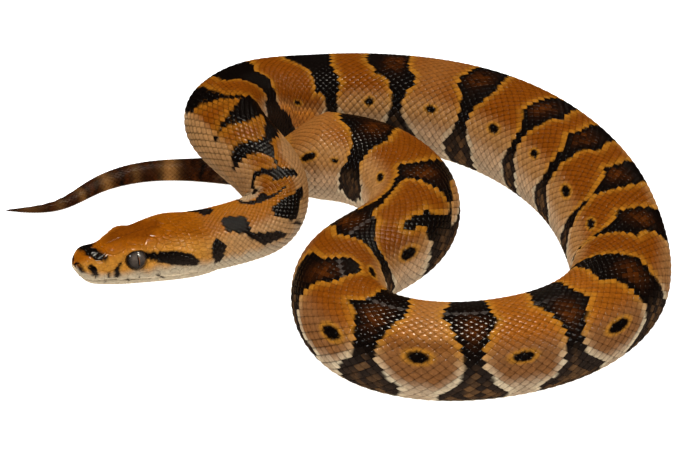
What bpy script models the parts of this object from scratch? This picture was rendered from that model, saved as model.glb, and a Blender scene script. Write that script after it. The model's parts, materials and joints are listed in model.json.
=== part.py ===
"""A young ball python lying in one loose coil, life size, as a museum's still model.

The body is one long tube that is swept along a spine from snout to tail tip. Its belly is flat and lies
on the floor. The head is lifted a little, and the front of the body climbs over the root of the tail.
Thin cuts part the tube into head, lower jaw, neck, lengths of trunk and tail, and two eyes sit in
sockets in the head. Sizes below are in millimetres; Blender's units are metres, +Z is up.
"""
import math

import bmesh
import bpy
import numpy as np
from mathutils import Matrix, Vector

MM = 0.001
GAP = 0.3                      # clear space between two parts that meet

# The line of the belly from the snout to the tip of the tail: x, y and height over the floor.
SPINE = [
    (-50.5, -20.5, 6.0), (-38, -13.5, 3.3), (-26.5, -6.9, 1.2), (-16.2, -1.3, 0.2),  # head and neck
    (-12.7, 1.7, 0.2), (-11.1, 6.0, 1.3), (-12.5, 10.6, 3.6), (-17.6, 16.4, 7.2),    # over the tail
    (-21.5, 23.4, 7.8), (-21, 31.4, 4.8), (-15.9, 40, 1.8), (-3.5, 44, 0),       # left turn
    (13.5, 42.5, 0), (31.2, 35.3, 0), (44.6, 22.8, 0),                               # back of the coil
    (53.2, 6.7, 0), (56.6, -9, 0), (56, -24.5, 0), (47.5, -36.5, 0), (33, -43.5, 0),     # right and front
    (17, -44.2, 0), (6.7, -39, 0), (2.1, -29, 0), (4.2, -17.5, 0), (13, -7.6, 0),    # left turn, back in
    (16.8, 1.8, 0), (14.4, 12.2, 0), (5.8, 20.4, 0), (-5.3, 22.9, 0),                # inner turn
    (-16.5, 23.8, 0), (-27.5, 25, 0), (-38.5, 24.8, 0), (-48.8, 20.1, 0),            # root of the tail
    (-56.3, 13.7, 0), (-67, 12.9, 0),                                                # tip of the tail
]

# Sizes of the body: distance behind the snout, half its width, its height from belly to back.
BODY_SIZES = [
    (30, 6.6, 10.8), (38, 6.3, 11.4), (52, 6.6, 12.4), (66, 7.8, 13.3), (82, 9.3, 15.0), (110, 10.2, 16.8),
    (150, 11.3, 18.2), (180, 10.7, 17.5), (202, 9.9, 16.8), (228, 9.5, 16.4), (256, 9.5, 16.5), (290, 9.4, 15.9),
    (322, 9.5, 16.0),
]
# Sizes of the end of the body and the tail: distance before the tip, half width, height.
TAIL_SIZES = [
    (69, 9.2, 15.9), (65, 8.0, 13.3), (60.5, 6.0, 9.6), (55, 4.2, 6.9), (48, 3.0, 5.2), (41, 2.4, 4.4),
    (30, 2.2, 3.8), (18, 1.7, 2.8), (6, 0.9, 1.4), (0, 0.25, 0.4),
]
# Sizes of the head: distance behind the snout, half width, crown and chin over the line of the belly.
HEAD_SIZES = [
    (0, 3.0, 6.4, 1.6), (3, 4.0, 7.4, 0.7), (6, 4.6, 8.0, 0.15), (9, 5.5, 9.1, 0), (12, 6.2, 9.9, 0),
    (18, 7.4, 10.8, 0), (23, 8.0, 10.8, 0), (26.5, 7.7, 10.4, 0), (30, 6.6, 10.8, 0),
]

HEAD_END = 30.0                # the cut between head and neck
NECK_END = 58.0                # the cut between neck and trunk, past the tight bend
TRUNK_LENGTHS = 16
TAIL_ROOT_LENGTH = 69.0        # from the vent's taper to the tip
TAIL_TIP_LENGTH = 42.0         # the slim end, beyond the taper
RING_SPACING = 3.8             # along the body
NECK_CUT = 41.0                # parts the neck inside its bend

# A cross-section is a rounded box, level below. Angles go round from the middle of the back.
ROUNDNESS = 2.2                # the power of the superellipse, 2 for an ellipse
BELLY_CLIP = 0.86              # the belly is cut level at this share of the lower half
WAIST = BELLY_CLIP / (1 + BELLY_CLIP)          # height of the widest place, as a share of the whole
BACK_POINTS = 21               # round the back and flanks
BELLY_POINTS = 3               # between the two edges of the belly

# The head's own forms.
NOSE_ROUND = 3.2               # how far back the blunt end of the snout is rounded
HEAD_WAIST = 0.36              # the widest place of the face is lower than that of the body
WAIST_REACH = 16.0             # how far back that holds
NOSE_LEVEL = 4.2               # height of the very tip of the snout
MOUTH_FRONT = 2.2              # height of the mouth at the snout
MOUTH_RISE = 0.035             # and how much it rises for each millimetre behind it
JAW_START = 1.0                # the lower jaw is a little shorter than the snout
EYE_BEHIND = 11.2
EYE_SIDE = 3.4
EYE_HEIGHT = 6.1
EYE_RADIUS = 2.6
BROW = (9.2, 2.6, 48, 16, 0.75)       # place along, reach along, angle, reach round, height of the bulge
ORBIT = (11.3, 2.6, 76, 24, 0.35)      # the rim that holds the eye
NOSTRIL = (2.4, 1.8, 62, 22, 0.45)     # the swollen sides of the nose
LORE = (6.5, 2.6, 82, 20, -0.25)       # the hollow before the eye
CHEEK = (22.5, 4.5, 84, 26, 0.3)       # jaw muscle
FURROW = (22.0, 7.0, 0, 13, -0.35)     # shallow dip along the middle of the crown
HEAD_FORMS = (BROW, ORBIT, NOSTRIL, LORE, CHEEK, FURROW)

SKIN_COLOURS = {
    "head": (0.50, 0.16, 0.03),
    "jaw": (0.75, 0.52, 0.30),
    "neck": (0.45, 0.15, 0.035),
    "trunk": (0.13, 0.06, 0.03),
    "tail": (0.05, 0.025, 0.015),
    "eye": (0.02, 0.018, 0.016),
}


def clear_scene():
    for old in list(bpy.data.objects):
        bpy.data.objects.remove(old, do_unlink=True)


def spline_slopes(at, values):
    """Second derivatives of the smooth curve through the values, free at both ends."""
    count = len(at)
    step = np.diff(at)
    rows = np.eye(count)
    right = np.zeros_like(values)
    for i in range(1, count - 1):
        rows[i, i - 1:i + 2] = (step[i - 1], 2 * (step[i - 1] + step[i]), step[i])
        rise_after = (values[i + 1] - values[i]) / step[i]
        rise_before = (values[i] - values[i - 1]) / step[i - 1]
        right[i] = 6 * (rise_after - rise_before)
    return np.linalg.solve(rows, right)


def spline_at(at, values, slopes, where):
    """Values of that curve at the given places."""
    i = np.clip(np.searchsorted(at, where, side="right") - 1, 0, len(at) - 2)
    step = (at[i + 1] - at[i])[:, None]
    before = (at[i + 1] - where)[:, None] / step
    after = 1 - before
    bend = (before**3 - before) * slopes[i] + (after**3 - after) * slopes[i + 1]
    return before * values[i] + after * values[i + 1] + bend * step**2 / 6


class Spine:
    """The belly line, read by distance behind the snout."""

    def __init__(self):
        knots = np.array(SPINE, float)
        chords = np.linalg.norm(np.diff(knots, axis=0), axis=1)
        at = np.concatenate([[0], np.cumsum(chords)])
        fine = np.linspace(0, at[-1], 6000)
        self.points = spline_at(at, knots, spline_slopes(at, knots), fine)
        self.points[:, 2] = np.maximum(self.points[:, 2], 0)
        steps = np.linalg.norm(np.diff(self.points, axis=0), axis=1)
        self.distance = np.concatenate([[0], np.cumsum(steps)])
        self.length = self.distance[-1]

    def point(self, s):
        return np.array([np.interp(s, self.distance, self.points[:, k]) for k in range(3)])

    def frame(self, s):
        """Point on the belly line, and unit vectors to the rear, to the animal's left and up."""
        reach = 0.4
        before = self.point(max(s - reach, 0))
        after = self.point(min(s + reach, self.length))
        rear = (after - before) / np.linalg.norm(after - before)
        left = np.cross(rear, (0, 0, 1))
        left /= np.linalg.norm(left)
        return self.point(s), rear, left, np.cross(left, rear)


def read_sizes(table, where):
    """The sizes of a table at one place, on smooth curves through its rows."""
    rows = np.array(sorted(table), float)
    at = rows[:, 0]
    place = np.array([min(max(where, at[0]), at[-1])])
    return spline_at(at, rows[:, 1:], spline_slopes(at, rows[:, 1:]), place)[0]


def body_size(s, length):
    """Half width and height of the body at a distance behind the snout."""
    if length - s < TAIL_ROOT_LENGTH:
        return read_sizes(TAIL_SIZES, length - s)
    return read_sizes(BODY_SIZES, s)


def rounded_box(angle, power=ROUNDNESS):
    """A point of the unit section: sideways, and up from the widest place."""
    side = math.sin(angle)
    rise = math.cos(angle)
    reach = (abs(side)**power + abs(rise)**power)**(-1 / power)
    return side * reach, rise * reach


def belly_edge():
    """The angle at which the flank meets the level belly, and how far to the side that is."""
    side = (1 - BELLY_CLIP**ROUNDNESS)**(1 / ROUNDNESS)
    return math.pi - math.atan2(side, BELLY_CLIP), side


def section(half_width, height):
    """A ring of the body: sideways and up from the belly line, once round."""
    edge, edge_side = belly_edge()
    waist = WAIST * height
    ring = []
    for angle in np.linspace(-edge, edge, BACK_POINTS):
        side, rise = rounded_box(angle)
        ring.append((side * half_width, waist + rise * (height - waist)))
    for share in np.linspace(1, -1, BELLY_POINTS + 2)[1:-1]:
        ring.append((share * edge_side * half_width, 0.0))
    return ring


def bulge(form, a, angle):
    """How far one of the head's forms stands out at this place."""
    place, along, middle, around, height = form
    off = (math.degrees(abs(angle)) - middle) / around
    return height * math.exp(-((a - place) / along)**2 - off**2)


def nose_round(a):
    """The share of its full size that the blunt snout has reached, on a quarter circle."""
    if a >= NOSE_ROUND:
        return 1.0
    return math.sqrt(1 - (1 - a / NOSE_ROUND)**2)


def head_point(a, angle):
    """The head's surface a mm behind the snout: sideways, and up from the belly line."""
    half_width, crown, chin = read_sizes(HEAD_SIZES, a)
    share = nose_round(a)
    half_width *= share
    crown = NOSE_LEVEL + (crown - NOSE_LEVEL) * share
    chin = NOSE_LEVEL + (chin - NOSE_LEVEL) * share
    face = math.exp(-(a / WAIST_REACH)**4)
    waist = chin + (WAIST + (HEAD_WAIST - WAIST) * face) * (crown - chin)
    side, rise = rounded_box(angle, ROUNDNESS + 0.3 * math.exp(-(a / 5)**2) - 0.2 * face)
    rise = max(rise, -BELLY_CLIP)
    lower = (waist - chin) / BELLY_CLIP
    out = share * sum(bulge(form, a, angle) for form in HEAD_FORMS)
    return (side * half_width + out * math.sin(angle),
            waist + rise * (crown - waist if rise > 0 else lower) + out * math.cos(angle))


def mouth_level(a):
    return MOUTH_FRONT + MOUTH_RISE * a


def angle_at_level(a, level):
    """The angle round the head at which its side passes a level, found by halving."""
    low, high = 0.2, belly_edge()[0] + 0.25
    for _ in range(40):
        middle = (low + high) / 2
        if head_point(a, middle)[1] > level:
            low = middle
        else:
            high = middle
    return low


def upper_head_ring(a):
    """Over the crown from one lip to the other, and back along the roof of the mouth."""
    lip = angle_at_level(a, mouth_level(a) + GAP / 2)
    ring = [head_point(a, angle) for angle in np.linspace(-lip, lip, 25)]
    right, left = ring[0], ring[-1]
    return ring + [(left[0] + (right[0] - left[0]) * k / 4, left[1]) for k in (1, 2, 3)]


def jaw_ring(a):
    """Under the chin from one lip to the other, and back along the floor of the mouth."""
    edge, _ = belly_edge()
    lip = angle_at_level(a, mouth_level(a) - GAP / 2)
    left = [head_point(a, angle) for angle in np.linspace(lip, max(edge, lip + 0.1), 5)]
    right = [(-side, rise) for side, rise in left][::-1]
    chin = [(left[-1][0] * share, left[-1][1]) for share in (0.5, 0, -0.5)]
    lips = [(left[0][0] * share, left[0][1]) for share in (-0.5, 0, 0.5)]
    return left + chin + right + lips


def place_ring(ring, frame):
    point, _, left, up = frame
    return [Vector((point + side * left + rise * up) * MM) for side, rise in ring]


def shifted(frame, amount):
    """The same frame moved to the rear, so that both sides of a cut stay parallel."""
    point, rear, left, up = frame
    return point + rear * amount, rear, left, up


def loft(name, rings, colour):
    """Join rings of equal count into one closed body, with a flat face at each end."""
    shape = bmesh.new()
    rows = [[shape.verts.new(p) for p in ring] for ring in rings]
    count = len(rows[0])
    for row, following in zip(rows, rows[1:]):
        for k in range(count):
            n = (k + 1) % count
            shape.faces.new((row[k], row[n], following[n], following[k]))
    shape.faces.new(rows[0])
    shape.faces.new(rows[-1][::-1])
    bmesh.ops.recalc_face_normals(shape, faces=shape.faces)
    return finish(name, shape, colour)


def finish(name, shape, colour):
    mesh = bpy.data.meshes.new(name)
    shape.to_mesh(mesh)
    shape.free()
    mesh.shade_smooth()
    mesh.set_sharp_from_angle(angle=math.radians(40))
    mesh.materials.append(material(name, colour))
    node = bpy.data.objects.new(name, mesh)
    bpy.context.collection.objects.link(node)
    return node


def material(name, colour, roughness=0.35):
    skin = bpy.data.materials.new(name + "_skin")
    skin.use_nodes = True
    shader = skin.node_tree.nodes["Principled BSDF"]
    shader.inputs["Base Color"].default_value = (*colour, 1)
    shader.inputs["Roughness"].default_value = roughness
    shader.inputs["Metallic"].default_value = 0
    return skin


def body_length(spine, name, start, end, colour):
    """One length of the tube, with its cuts square to the body."""
    count = max(2, math.ceil((end - start) / RING_SPACING) + 1)
    rings = []
    for k, s in enumerate(np.linspace(start, end, count)):
        frame = spine.frame(s)
        if k == 0:
            frame = shifted(frame, GAP / 2)
        elif k == count - 1 and end < spine.length:
            frame = shifted(frame, -GAP / 2)
        rings.append(place_ring(section(*body_size(s, spine.length)), frame))
    return loft(name, rings, colour)


def head_stations(start):
    """Places of the head's rings: close together on the nose, then evenly to the neck."""
    nose = [start + (NOSE_ROUND - start) * (1 - math.cos(q)) for q in (0.3, 0.62, 0.94, 1.26)]
    return nose + list(np.linspace(NOSE_ROUND, HEAD_END, 15))


def make_head(spine):
    rings = []
    for a in head_stations(0):
        frame = spine.frame(a)
        if a == HEAD_END:
            frame = shifted(frame, -GAP / 2)
        rings.append(place_ring(upper_head_ring(a), frame))
    return loft("head", rings, SKIN_COLOURS["head"])


def make_jaw(spine):
    rings = []
    for a in head_stations(JAW_START):
        frame = spine.frame(a)
        if a == HEAD_END:
            frame = shifted(frame, -GAP / 2)
        rings.append(place_ring(jaw_ring(a), frame))
    return loft("jaw", rings, SKIN_COLOURS["jaw"])


def eye_place(spine, hand):
    """Centre of an eye; hand is 1 on the animal's left and -1 on its right."""
    point, _, left, up = spine.frame(EYE_BEHIND)
    return Vector((point + hand * EYE_SIDE * left + EYE_HEIGHT * up) * MM)


def ball(name, centre, radius, colour):
    shape = bmesh.new()
    place = Matrix.Translation(centre)
    bmesh.ops.create_uvsphere(shape, u_segments=20, v_segments=12, radius=radius * MM, matrix=place)
    return finish(name, shape, colour)


def make_eyes(spine, head):
    """Two eyeballs, each in a socket that is wider than it by the gap."""
    for hand, name in ((1, "eye_left"), (-1, "eye_right")):
        centre = eye_place(spine, hand)
        ball(name, centre, EYE_RADIUS, SKIN_COLOURS["eye"])
        cutter = ball(name + "_socket", centre, EYE_RADIUS + GAP, SKIN_COLOURS["eye"])
        cutter.hide_render = True
        cutter.display_type = "WIRE"
        cut = head.modifiers.new(name + "_socket", "BOOLEAN")
        cut.operation = "DIFFERENCE"
        cut.object = cutter


def make_body(spine):
    body_length(spine, "neck_front", HEAD_END, NECK_CUT, SKIN_COLOURS["neck"])
    body_length(spine, "neck_bend", NECK_CUT, NECK_END, SKIN_COLOURS["neck"])
    vent = spine.length - TAIL_ROOT_LENGTH
    cuts = np.linspace(NECK_END, vent, TRUNK_LENGTHS + 1)
    for k, (start, end) in enumerate(zip(cuts, cuts[1:]), 1):
        body_length(spine, f"trunk_{k:02d}", start, end, SKIN_COLOURS["trunk"])
    tip = spine.length - TAIL_TIP_LENGTH
    body_length(spine, "tail_root", vent, tip, SKIN_COLOURS["tail"])
    body_length(spine, "tail_tip", tip, spine.length, SKIN_COLOURS["tail"])


def main():
    clear_scene()
    spine = Spine()
    head = make_head(spine)
    make_jaw(spine)
    make_eyes(spine, head)
    make_body(spine)


main()
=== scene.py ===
# %% [markdown]
# # A young ball python, coiled
# This notebook dresses a life-size still model of a ball python. The solids of the snake are a plain
# tube, parted by thin cuts. Here the tube gets one skin without cuts, a coat of overlapping scales that
# are real mesh, large shields on the head, and two glossy eyes. Loading the frame comes first, because
# every piece is placed by the sizes of those solids.

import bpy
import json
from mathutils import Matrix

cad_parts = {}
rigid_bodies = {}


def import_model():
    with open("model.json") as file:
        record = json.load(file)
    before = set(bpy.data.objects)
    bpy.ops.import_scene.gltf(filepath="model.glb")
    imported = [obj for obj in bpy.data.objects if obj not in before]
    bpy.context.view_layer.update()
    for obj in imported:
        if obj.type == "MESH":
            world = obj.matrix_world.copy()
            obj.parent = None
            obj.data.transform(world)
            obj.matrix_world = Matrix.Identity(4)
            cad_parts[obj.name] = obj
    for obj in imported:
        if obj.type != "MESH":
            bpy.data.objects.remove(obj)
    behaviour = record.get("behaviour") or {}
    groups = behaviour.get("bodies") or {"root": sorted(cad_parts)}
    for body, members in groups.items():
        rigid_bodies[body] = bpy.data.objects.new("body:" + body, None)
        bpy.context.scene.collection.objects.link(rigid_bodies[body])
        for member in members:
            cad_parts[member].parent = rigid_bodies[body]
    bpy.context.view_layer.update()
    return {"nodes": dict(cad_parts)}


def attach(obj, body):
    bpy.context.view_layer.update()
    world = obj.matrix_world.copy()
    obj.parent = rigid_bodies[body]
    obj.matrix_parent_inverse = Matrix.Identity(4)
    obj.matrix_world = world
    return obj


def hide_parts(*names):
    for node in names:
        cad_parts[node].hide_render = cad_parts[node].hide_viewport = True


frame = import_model()

# %% Tools and units
import json
import math

import bpy
import numpy as np

MM = 0.001                     # lengths below are in millimetres, Blender's are in metres
SEED = 7
chance = np.random.default_rng(SEED)
print("one millimetre is", MM, "of Blender's units")

# %% [markdown]
# ## The line of the belly
# A snake is a long tube, so everything on it has two addresses: how far behind the snout it lies, and
# how far round the body. The tube could be a curve object with a bevel, but a bevel has one section
# all the way. A smooth line through a few points, with a table of widths and heights along it, gives
# every place its own size, so the same line and tables are used as in the solids.

# %% Points of the line
# forwards is -x at the head, the camera looks along +y, and z is the height of the belly
SPINE = [
    (-50.5, -20.5, 6.0), (-38, -13.5, 3.3), (-26.5, -6.9, 1.2), (-16.2, -1.3, 0.2),   # head and neck
    (-12.7, 1.7, 0.2), (-11.1, 6.0, 1.3), (-12.5, 10.6, 3.6), (-17.6, 16.4, 7.2),     # over the tail
    (-21.5, 23.4, 7.8), (-21, 31.4, 4.8), (-15.9, 40, 1.8), (-3.5, 44, 0),            # left turn
    (13.5, 42.5, 0), (31.2, 35.3, 0), (44.6, 22.8, 0),                                # back of the coil
    (53.2, 6.7, 0), (56.6, -9, 0), (56, -24.5, 0), (47.5, -36.5, 0), (33, -43.5, 0),  # right and front
    (17, -44.2, 0), (6.7, -39, 0), (2.1, -29, 0), (4.2, -17.5, 0), (13, -7.6, 0),     # left turn, back in
    (16.8, 1.8, 0), (14.4, 12.2, 0), (5.8, 20.4, 0), (-5.3, 22.9, 0),                 # inner turn
    (-16.5, 23.8, 0), (-27.5, 25, 0), (-38.5, 24.8, 0), (-48.8, 20.1, 0),             # root of the tail
    (-56.3, 13.7, 0), (-67, 12.9, 0),                                                 # tip of the tail
]
print("points of the line:", len(SPINE))

# %% Sizes along the line
# distance behind the snout, half width, height
BODY_SIZES = [
    (30, 6.6, 10.8), (38, 6.3, 11.4), (52, 6.6, 12.4), (66, 7.8, 13.3), (82, 9.3, 15.0), (110, 10.2, 16.8),
    (150, 11.3, 18.2), (180, 10.7, 17.5), (202, 9.9, 16.8), (228, 9.5, 16.4), (256, 9.5, 16.5),
    (290, 9.4, 15.9), (322, 9.5, 16.0),
]
# distance before the tip, half width, height
TAIL_SIZES = [
    (69, 9.2, 15.9), (65, 8.0, 13.3), (60.5, 6.0, 9.6), (55, 4.2, 6.9), (48, 3.0, 5.2), (41, 2.4, 4.4),
    (30, 2.2, 3.8), (18, 1.7, 2.8), (6, 0.9, 1.4), (0, 0.25, 0.4),
]
# distance behind the snout, half width, crown, chin
HEAD_SIZES = [
    (0, 3.0, 6.4, 1.6), (3, 4.0, 7.4, 0.7), (6, 4.6, 8.0, 0.15), (9, 5.5, 9.1, 0), (12, 6.2, 9.9, 0),
    (18, 7.4, 10.8, 0), (23, 8.0, 10.8, 0), (26.5, 7.7, 10.4, 0), (30, 6.6, 10.8, 0),
]
HEAD_END = 30.0                # where the sizes of the head give way to those of the body
TAIL_ROOT_LENGTH = 69.0        # from where the tail's sizes hold to the tip
widest = max(half_width for _, half_width, _ in BODY_SIZES)
print("widest place of the body:", 2 * widest, "mm")


# %% A smooth curve through rows
def spline_slopes(at, values):
    """Second derivatives of the smooth curve through the values, free at both ends."""
    count = len(at)
    step = np.diff(at)
    rows = np.eye(count)
    right = np.zeros_like(values)
    for i in range(1, count - 1):
        rows[i, i - 1:i + 2] = (step[i - 1], 2 * (step[i - 1] + step[i]), step[i])
        rise_after = (values[i + 1] - values[i]) / step[i]
        rise_before = (values[i] - values[i - 1]) / step[i - 1]
        right[i] = 6 * (rise_after - rise_before)
    return np.linalg.solve(rows, right)


def smooth_curve(at, values, where):
    """Values at the given places on the smooth curve through the rows."""
    slopes = spline_slopes(at, values)
    where = np.clip(where, at[0], at[-1])
    i = np.clip(np.searchsorted(at, where, side="right") - 1, 0, len(at) - 2)
    step = (at[i + 1] - at[i])[:, None]
    before = (at[i + 1] - where)[:, None] / step
    after = 1 - before
    bend = (before**3 - before) * slopes[i] + (after**3 - after) * slopes[i + 1]
    return before * values[i] + after * values[i + 1] + bend * step**2 / 6


def read_sizes(table, where):
    """Sizes between the rows of a table."""
    rows = np.array(sorted(table), float)
    return smooth_curve(rows[:, 0], rows[:, 1:], where)


print("half width and height 50 mm behind the snout:", read_sizes(BODY_SIZES, np.array([50.0])).round(2))

# %% The line itself
LINE_POINTS = 6000
BLEND_POINTS = 90              # the height is averaged over so many points to each side
BLEND_EDGE = 2.5               # in standard deviations of the average's weights
knots = np.array(SPINE, float)
knot_at = np.concatenate([[0], np.cumsum(np.linalg.norm(np.diff(knots, axis=0), axis=1))])
belly_line = smooth_curve(knot_at, knots, np.linspace(0, knot_at[-1], LINE_POINTS))
belly_line[:, 2] = np.maximum(belly_line[:, 2], 0)
# The average takes out the kink where the belly meets the floor.
weights = np.exp(-np.linspace(-BLEND_EDGE, BLEND_EDGE, 2 * BLEND_POINTS + 1)**2 / 2)
height_line = np.pad(belly_line[:, 2], BLEND_POINTS, mode="edge")
belly_line[:, 2] = np.convolve(height_line, weights / weights.sum(), mode="valid")
line_at = np.concatenate([[0], np.cumsum(np.linalg.norm(np.diff(belly_line, axis=0), axis=1))])
LENGTH = line_at[-1]
print(f"the snake is {LENGTH:.1f} mm long")

# %% [markdown]
# ## Directions
# Whatever is built along the line has to know which way is back, left and up at every place. A curve
# object would turn about its own line in the bends. Here left always stays level, so that the belly
# stays below.

# %% Directions along the line
FRAME_REACH = 0.4              # directions are taken between points so far before and behind


def line_point(s):
    """Points on the line, for distances behind the snout."""
    return np.column_stack([np.interp(s, line_at, belly_line[:, k]) for k in range(3)])


def line_frames(s):
    """Points on the line, and unit vectors to the rear, the animal's left and up."""
    rear = line_point(np.minimum(s + FRAME_REACH, LENGTH)) - line_point(np.maximum(s - FRAME_REACH, 0))
    rear /= np.linalg.norm(rear, axis=1)[:, None]
    left = np.cross(rear, (0, 0, 1))
    left /= np.linalg.norm(left, axis=1)[:, None]
    return line_point(s), rear, left, np.cross(left, rear)


print("the way back, at the snout:", line_frames(np.array([0.0]))[1].round(2))

# %% [markdown]
# ## The surface of the animal
# Sculpting would give a good skin, but scales have to be laid on it by the thousand, and each needs to
# know where the surface is. So the surface is worked out once, as a fine net of points in rings, and
# everything else asks that net for its place. The section is a rounded box with a level belly, and the
# head has bulges for brow, cheek and nose, as in the solids.

# %% Sizes of the section
ROUNDNESS = 2.2                # power of the rounded box, 2 for an ellipse
NOSE_SQUARER = 0.3             # added to it at the tip of the snout
SQUARE_REACH = 5               # and how far back that fades
FACE_ROUNDER = 0.2             # taken from it on the face
BELLY_CLIP = 0.86              # the belly is cut level at this share of the lower half
WAIST = BELLY_CLIP / (1 + BELLY_CLIP)          # height of the widest place, as a share of the whole
HEAD_WAIST = 0.36              # the same on the face
WAIST_REACH = 16.0             # how far back that holds
NOSE_ROUND = 3.2               # how far back the blunt end of the snout is rounded
NOSE_LEVEL = 4.2               # height of the tip of the snout
# place along, reach along, angle, reach round, height of each bulge
BROW = (9.2, 2.6, 48, 16, 0.75)
ORBIT = (11.3, 2.6, 76, 24, 0.35)
NOSTRIL = (2.4, 1.8, 62, 22, 0.45)
LORE = (6.5, 2.6, 82, 20, -0.25)
CHEEK = (22.5, 4.5, 84, 26, 0.3)
FURROW = (22.0, 7.0, 0, 13, -0.35)
HEAD_FORMS = (BROW, ORBIT, NOSTRIL, LORE, CHEEK, FURROW)
BELLY_SIDE = (1 - BELLY_CLIP**ROUNDNESS)**(1 / ROUNDNESS)
BELLY_ANGLE = math.degrees(math.pi - math.atan2(BELLY_SIDE, BELLY_CLIP))
print(f"the belly's edge is {BELLY_ANGLE:.0f} degrees from the middle of the back")


# %% The section of head and body
def ring_sizes(s):
    """Half width, crown and chin at places behind the snout."""
    sizes = np.column_stack([read_sizes(BODY_SIZES, s), np.zeros(len(s))])
    tail = LENGTH - s < TAIL_ROOT_LENGTH
    sizes[tail, :2] = read_sizes(TAIL_SIZES, (LENGTH - s)[tail])
    head = s < HEAD_END
    sizes[head] = read_sizes(HEAD_SIZES, s[head])
    return sizes.T[:, :, None]


def section_points(s, angle):
    """Sideways and up from the belly line, for every place along and every angle round, in degrees."""
    half_width, crown, chin = ring_sizes(s)
    s = s[:, None]
    turn = np.radians(angle)[None, :]
    share = np.sqrt(1 - (1 - np.minimum(s / NOSE_ROUND, 1))**2)
    half_width = half_width * share
    crown = NOSE_LEVEL + (crown - NOSE_LEVEL) * np.where(s < NOSE_ROUND, share, 1)
    chin = NOSE_LEVEL + (chin - NOSE_LEVEL) * np.where(s < NOSE_ROUND, share, 1)
    face = np.exp(-(s / WAIST_REACH)**4)
    waist = chin + (WAIST + (HEAD_WAIST - WAIST) * face) * (crown - chin)
    power = ROUNDNESS + NOSE_SQUARER * np.exp(-(s / SQUARE_REACH)**2) - FACE_ROUNDER * face
    reach = (np.abs(np.sin(turn))**power + np.abs(np.cos(turn))**power)**(-1 / power)
    side = np.sin(turn) * reach
    rise = np.maximum(np.cos(turn) * reach, -BELLY_CLIP)
    out = 0
    for place, along, middle, around, height in HEAD_FORMS:
        off = (np.abs(angle)[None, :] - middle) / around
        out = out + share * height * np.exp(-((s - place) / along)**2 - off**2)
    half_height = np.where(rise > 0, crown - waist, (waist - chin) / BELLY_CLIP)
    return side * half_width + out * np.sin(turn), waist + rise * half_height + out * np.cos(turn)


cheek = section_points(np.array([CHEEK[0]]), np.array([90.0]))[0]
print("half the head's width at the cheek:", cheek.round(2), "mm")

# %% [markdown]
# ## The net
# The skin is a net of rings, evenly spaced over the surface, also round the blunt snout. Everything
# that follows is placed on the net by two numbers, distance over the skin and share of the round.

# %% Distances over the skin
NOSE_ARC = NOSE_ROUND * math.pi / 2            # round the blunt end, over the skin


def behind_snout(u):
    """Distance along the line, for a distance over the skin from the tip of the snout."""
    nose = NOSE_ROUND * (1 - np.cos(np.minimum(u, NOSE_ARC) / NOSE_ROUND))
    return np.minimum(nose + np.maximum(u - NOSE_ARC, 0), LENGTH)


def over_skin(s):
    """The other way round: distance over the skin for a distance along the line."""
    nose = NOSE_ROUND * np.arccos(np.clip(1 - np.asarray(s, float) / NOSE_ROUND, 0, 1))
    return nose + np.maximum(np.asarray(s, float) - NOSE_ROUND, 0)


U_END = float(over_skin(LENGTH))
print(f"from snout to tip over the skin: {U_END:.1f} mm")

# %% The net of points
STEP = 0.25                    # between rings, over the skin
AROUND = 360                   # points in a ring of the net
SOFTENINGS = 6                 # rounds the corner between flank and belly a little
net_u = np.arange(0, U_END + STEP, STEP)
net_s = behind_snout(net_u)
ring_angle = np.linspace(-180, 180, 2 * AROUND + 1)
side, rise = section_points(net_s, ring_angle)
centre, rear, left, up = line_frames(net_s)
rings = centre[:, None] + side[..., None] * left[:, None] + rise[..., None] * up[:, None]

steps = np.linalg.norm(np.diff(rings, axis=1), axis=2)
round_at = np.concatenate([np.zeros((len(net_u), 1)), np.cumsum(steps, axis=1)], axis=1)
girth = round_at[:, -1]
round_share = round_at / np.maximum(girth, 1e-6)[:, None] - 0.5
round_share[girth < 1e-3] = ring_angle / 360
even_share = np.linspace(-0.5, 0.5, AROUND + 1)
net = np.empty((len(net_u), AROUND + 1, 3))
net_angle = np.empty((len(net_u), AROUND + 1))
belly_share = np.empty(len(net_u))
for i, shares in enumerate(round_share):
    net_angle[i] = np.interp(even_share, shares, ring_angle)
    belly_share[i] = np.interp(BELLY_ANGLE, ring_angle, shares)
    for k in range(3):
        net[i, :, k] = np.interp(even_share, shares, rings[i, :, k])
net = net[:, :-1]
net_angle = net_angle[:, :-1]
for _ in range(SOFTENINGS):
    net = (np.roll(net, 1, axis=1) + 2 * net + np.roll(net, -1, axis=1)) / 4
print("net", net.shape, "girth at mid-body", girth[len(girth) // 2].round(1))

# %% [markdown]
# ## Folds
# Where the neck doubles back, the skin on the inside of the bend is pushed together and lies in shallow
# folds across the body. Cloth simulation could find them, but they are small and regular here. So a
# wave runs along the net, as deep as the bend is tight, and only on the side that faces the bend.

# %% Folds inside the tight bends
FOLD_STEP = 2.6                # between folds
FOLD_DEEP = 0.3
BENT = 0.035                   # radians to the mm at which folds begin
TIGHT = 0.09                   # and at which they are full
FOLD_BLEND = 33                # rings over which their depth is averaged
bend = np.gradient(rear, axis=0) / np.maximum(np.gradient(net_s), 1e-3)[:, None]
bend[net_s < HEAD_END] = 0
tightness = np.linalg.norm(bend, axis=1)
to_inside = bend / np.maximum(tightness, 1e-6)[:, None]
strength = np.clip((tightness - BENT) / (TIGHT - BENT), 0, 1)
strength = np.convolve(strength, np.ones(FOLD_BLEND) / FOLD_BLEND, mode="same")
from_middle = net - net.mean(axis=1)[:, None]
from_middle /= np.maximum(np.linalg.norm(from_middle, axis=2), 1e-6)[..., None]
facing = np.clip(np.einsum("ijk,ik->ij", from_middle, to_inside), 0, 1)**1.5
wave = 0.5 - 0.5 * np.cos(2 * np.pi * net_s[:, None] / FOLD_STEP + 2 * facing)
net -= from_middle * (FOLD_DEEP * strength[:, None] * facing * wave)[..., None]
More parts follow.
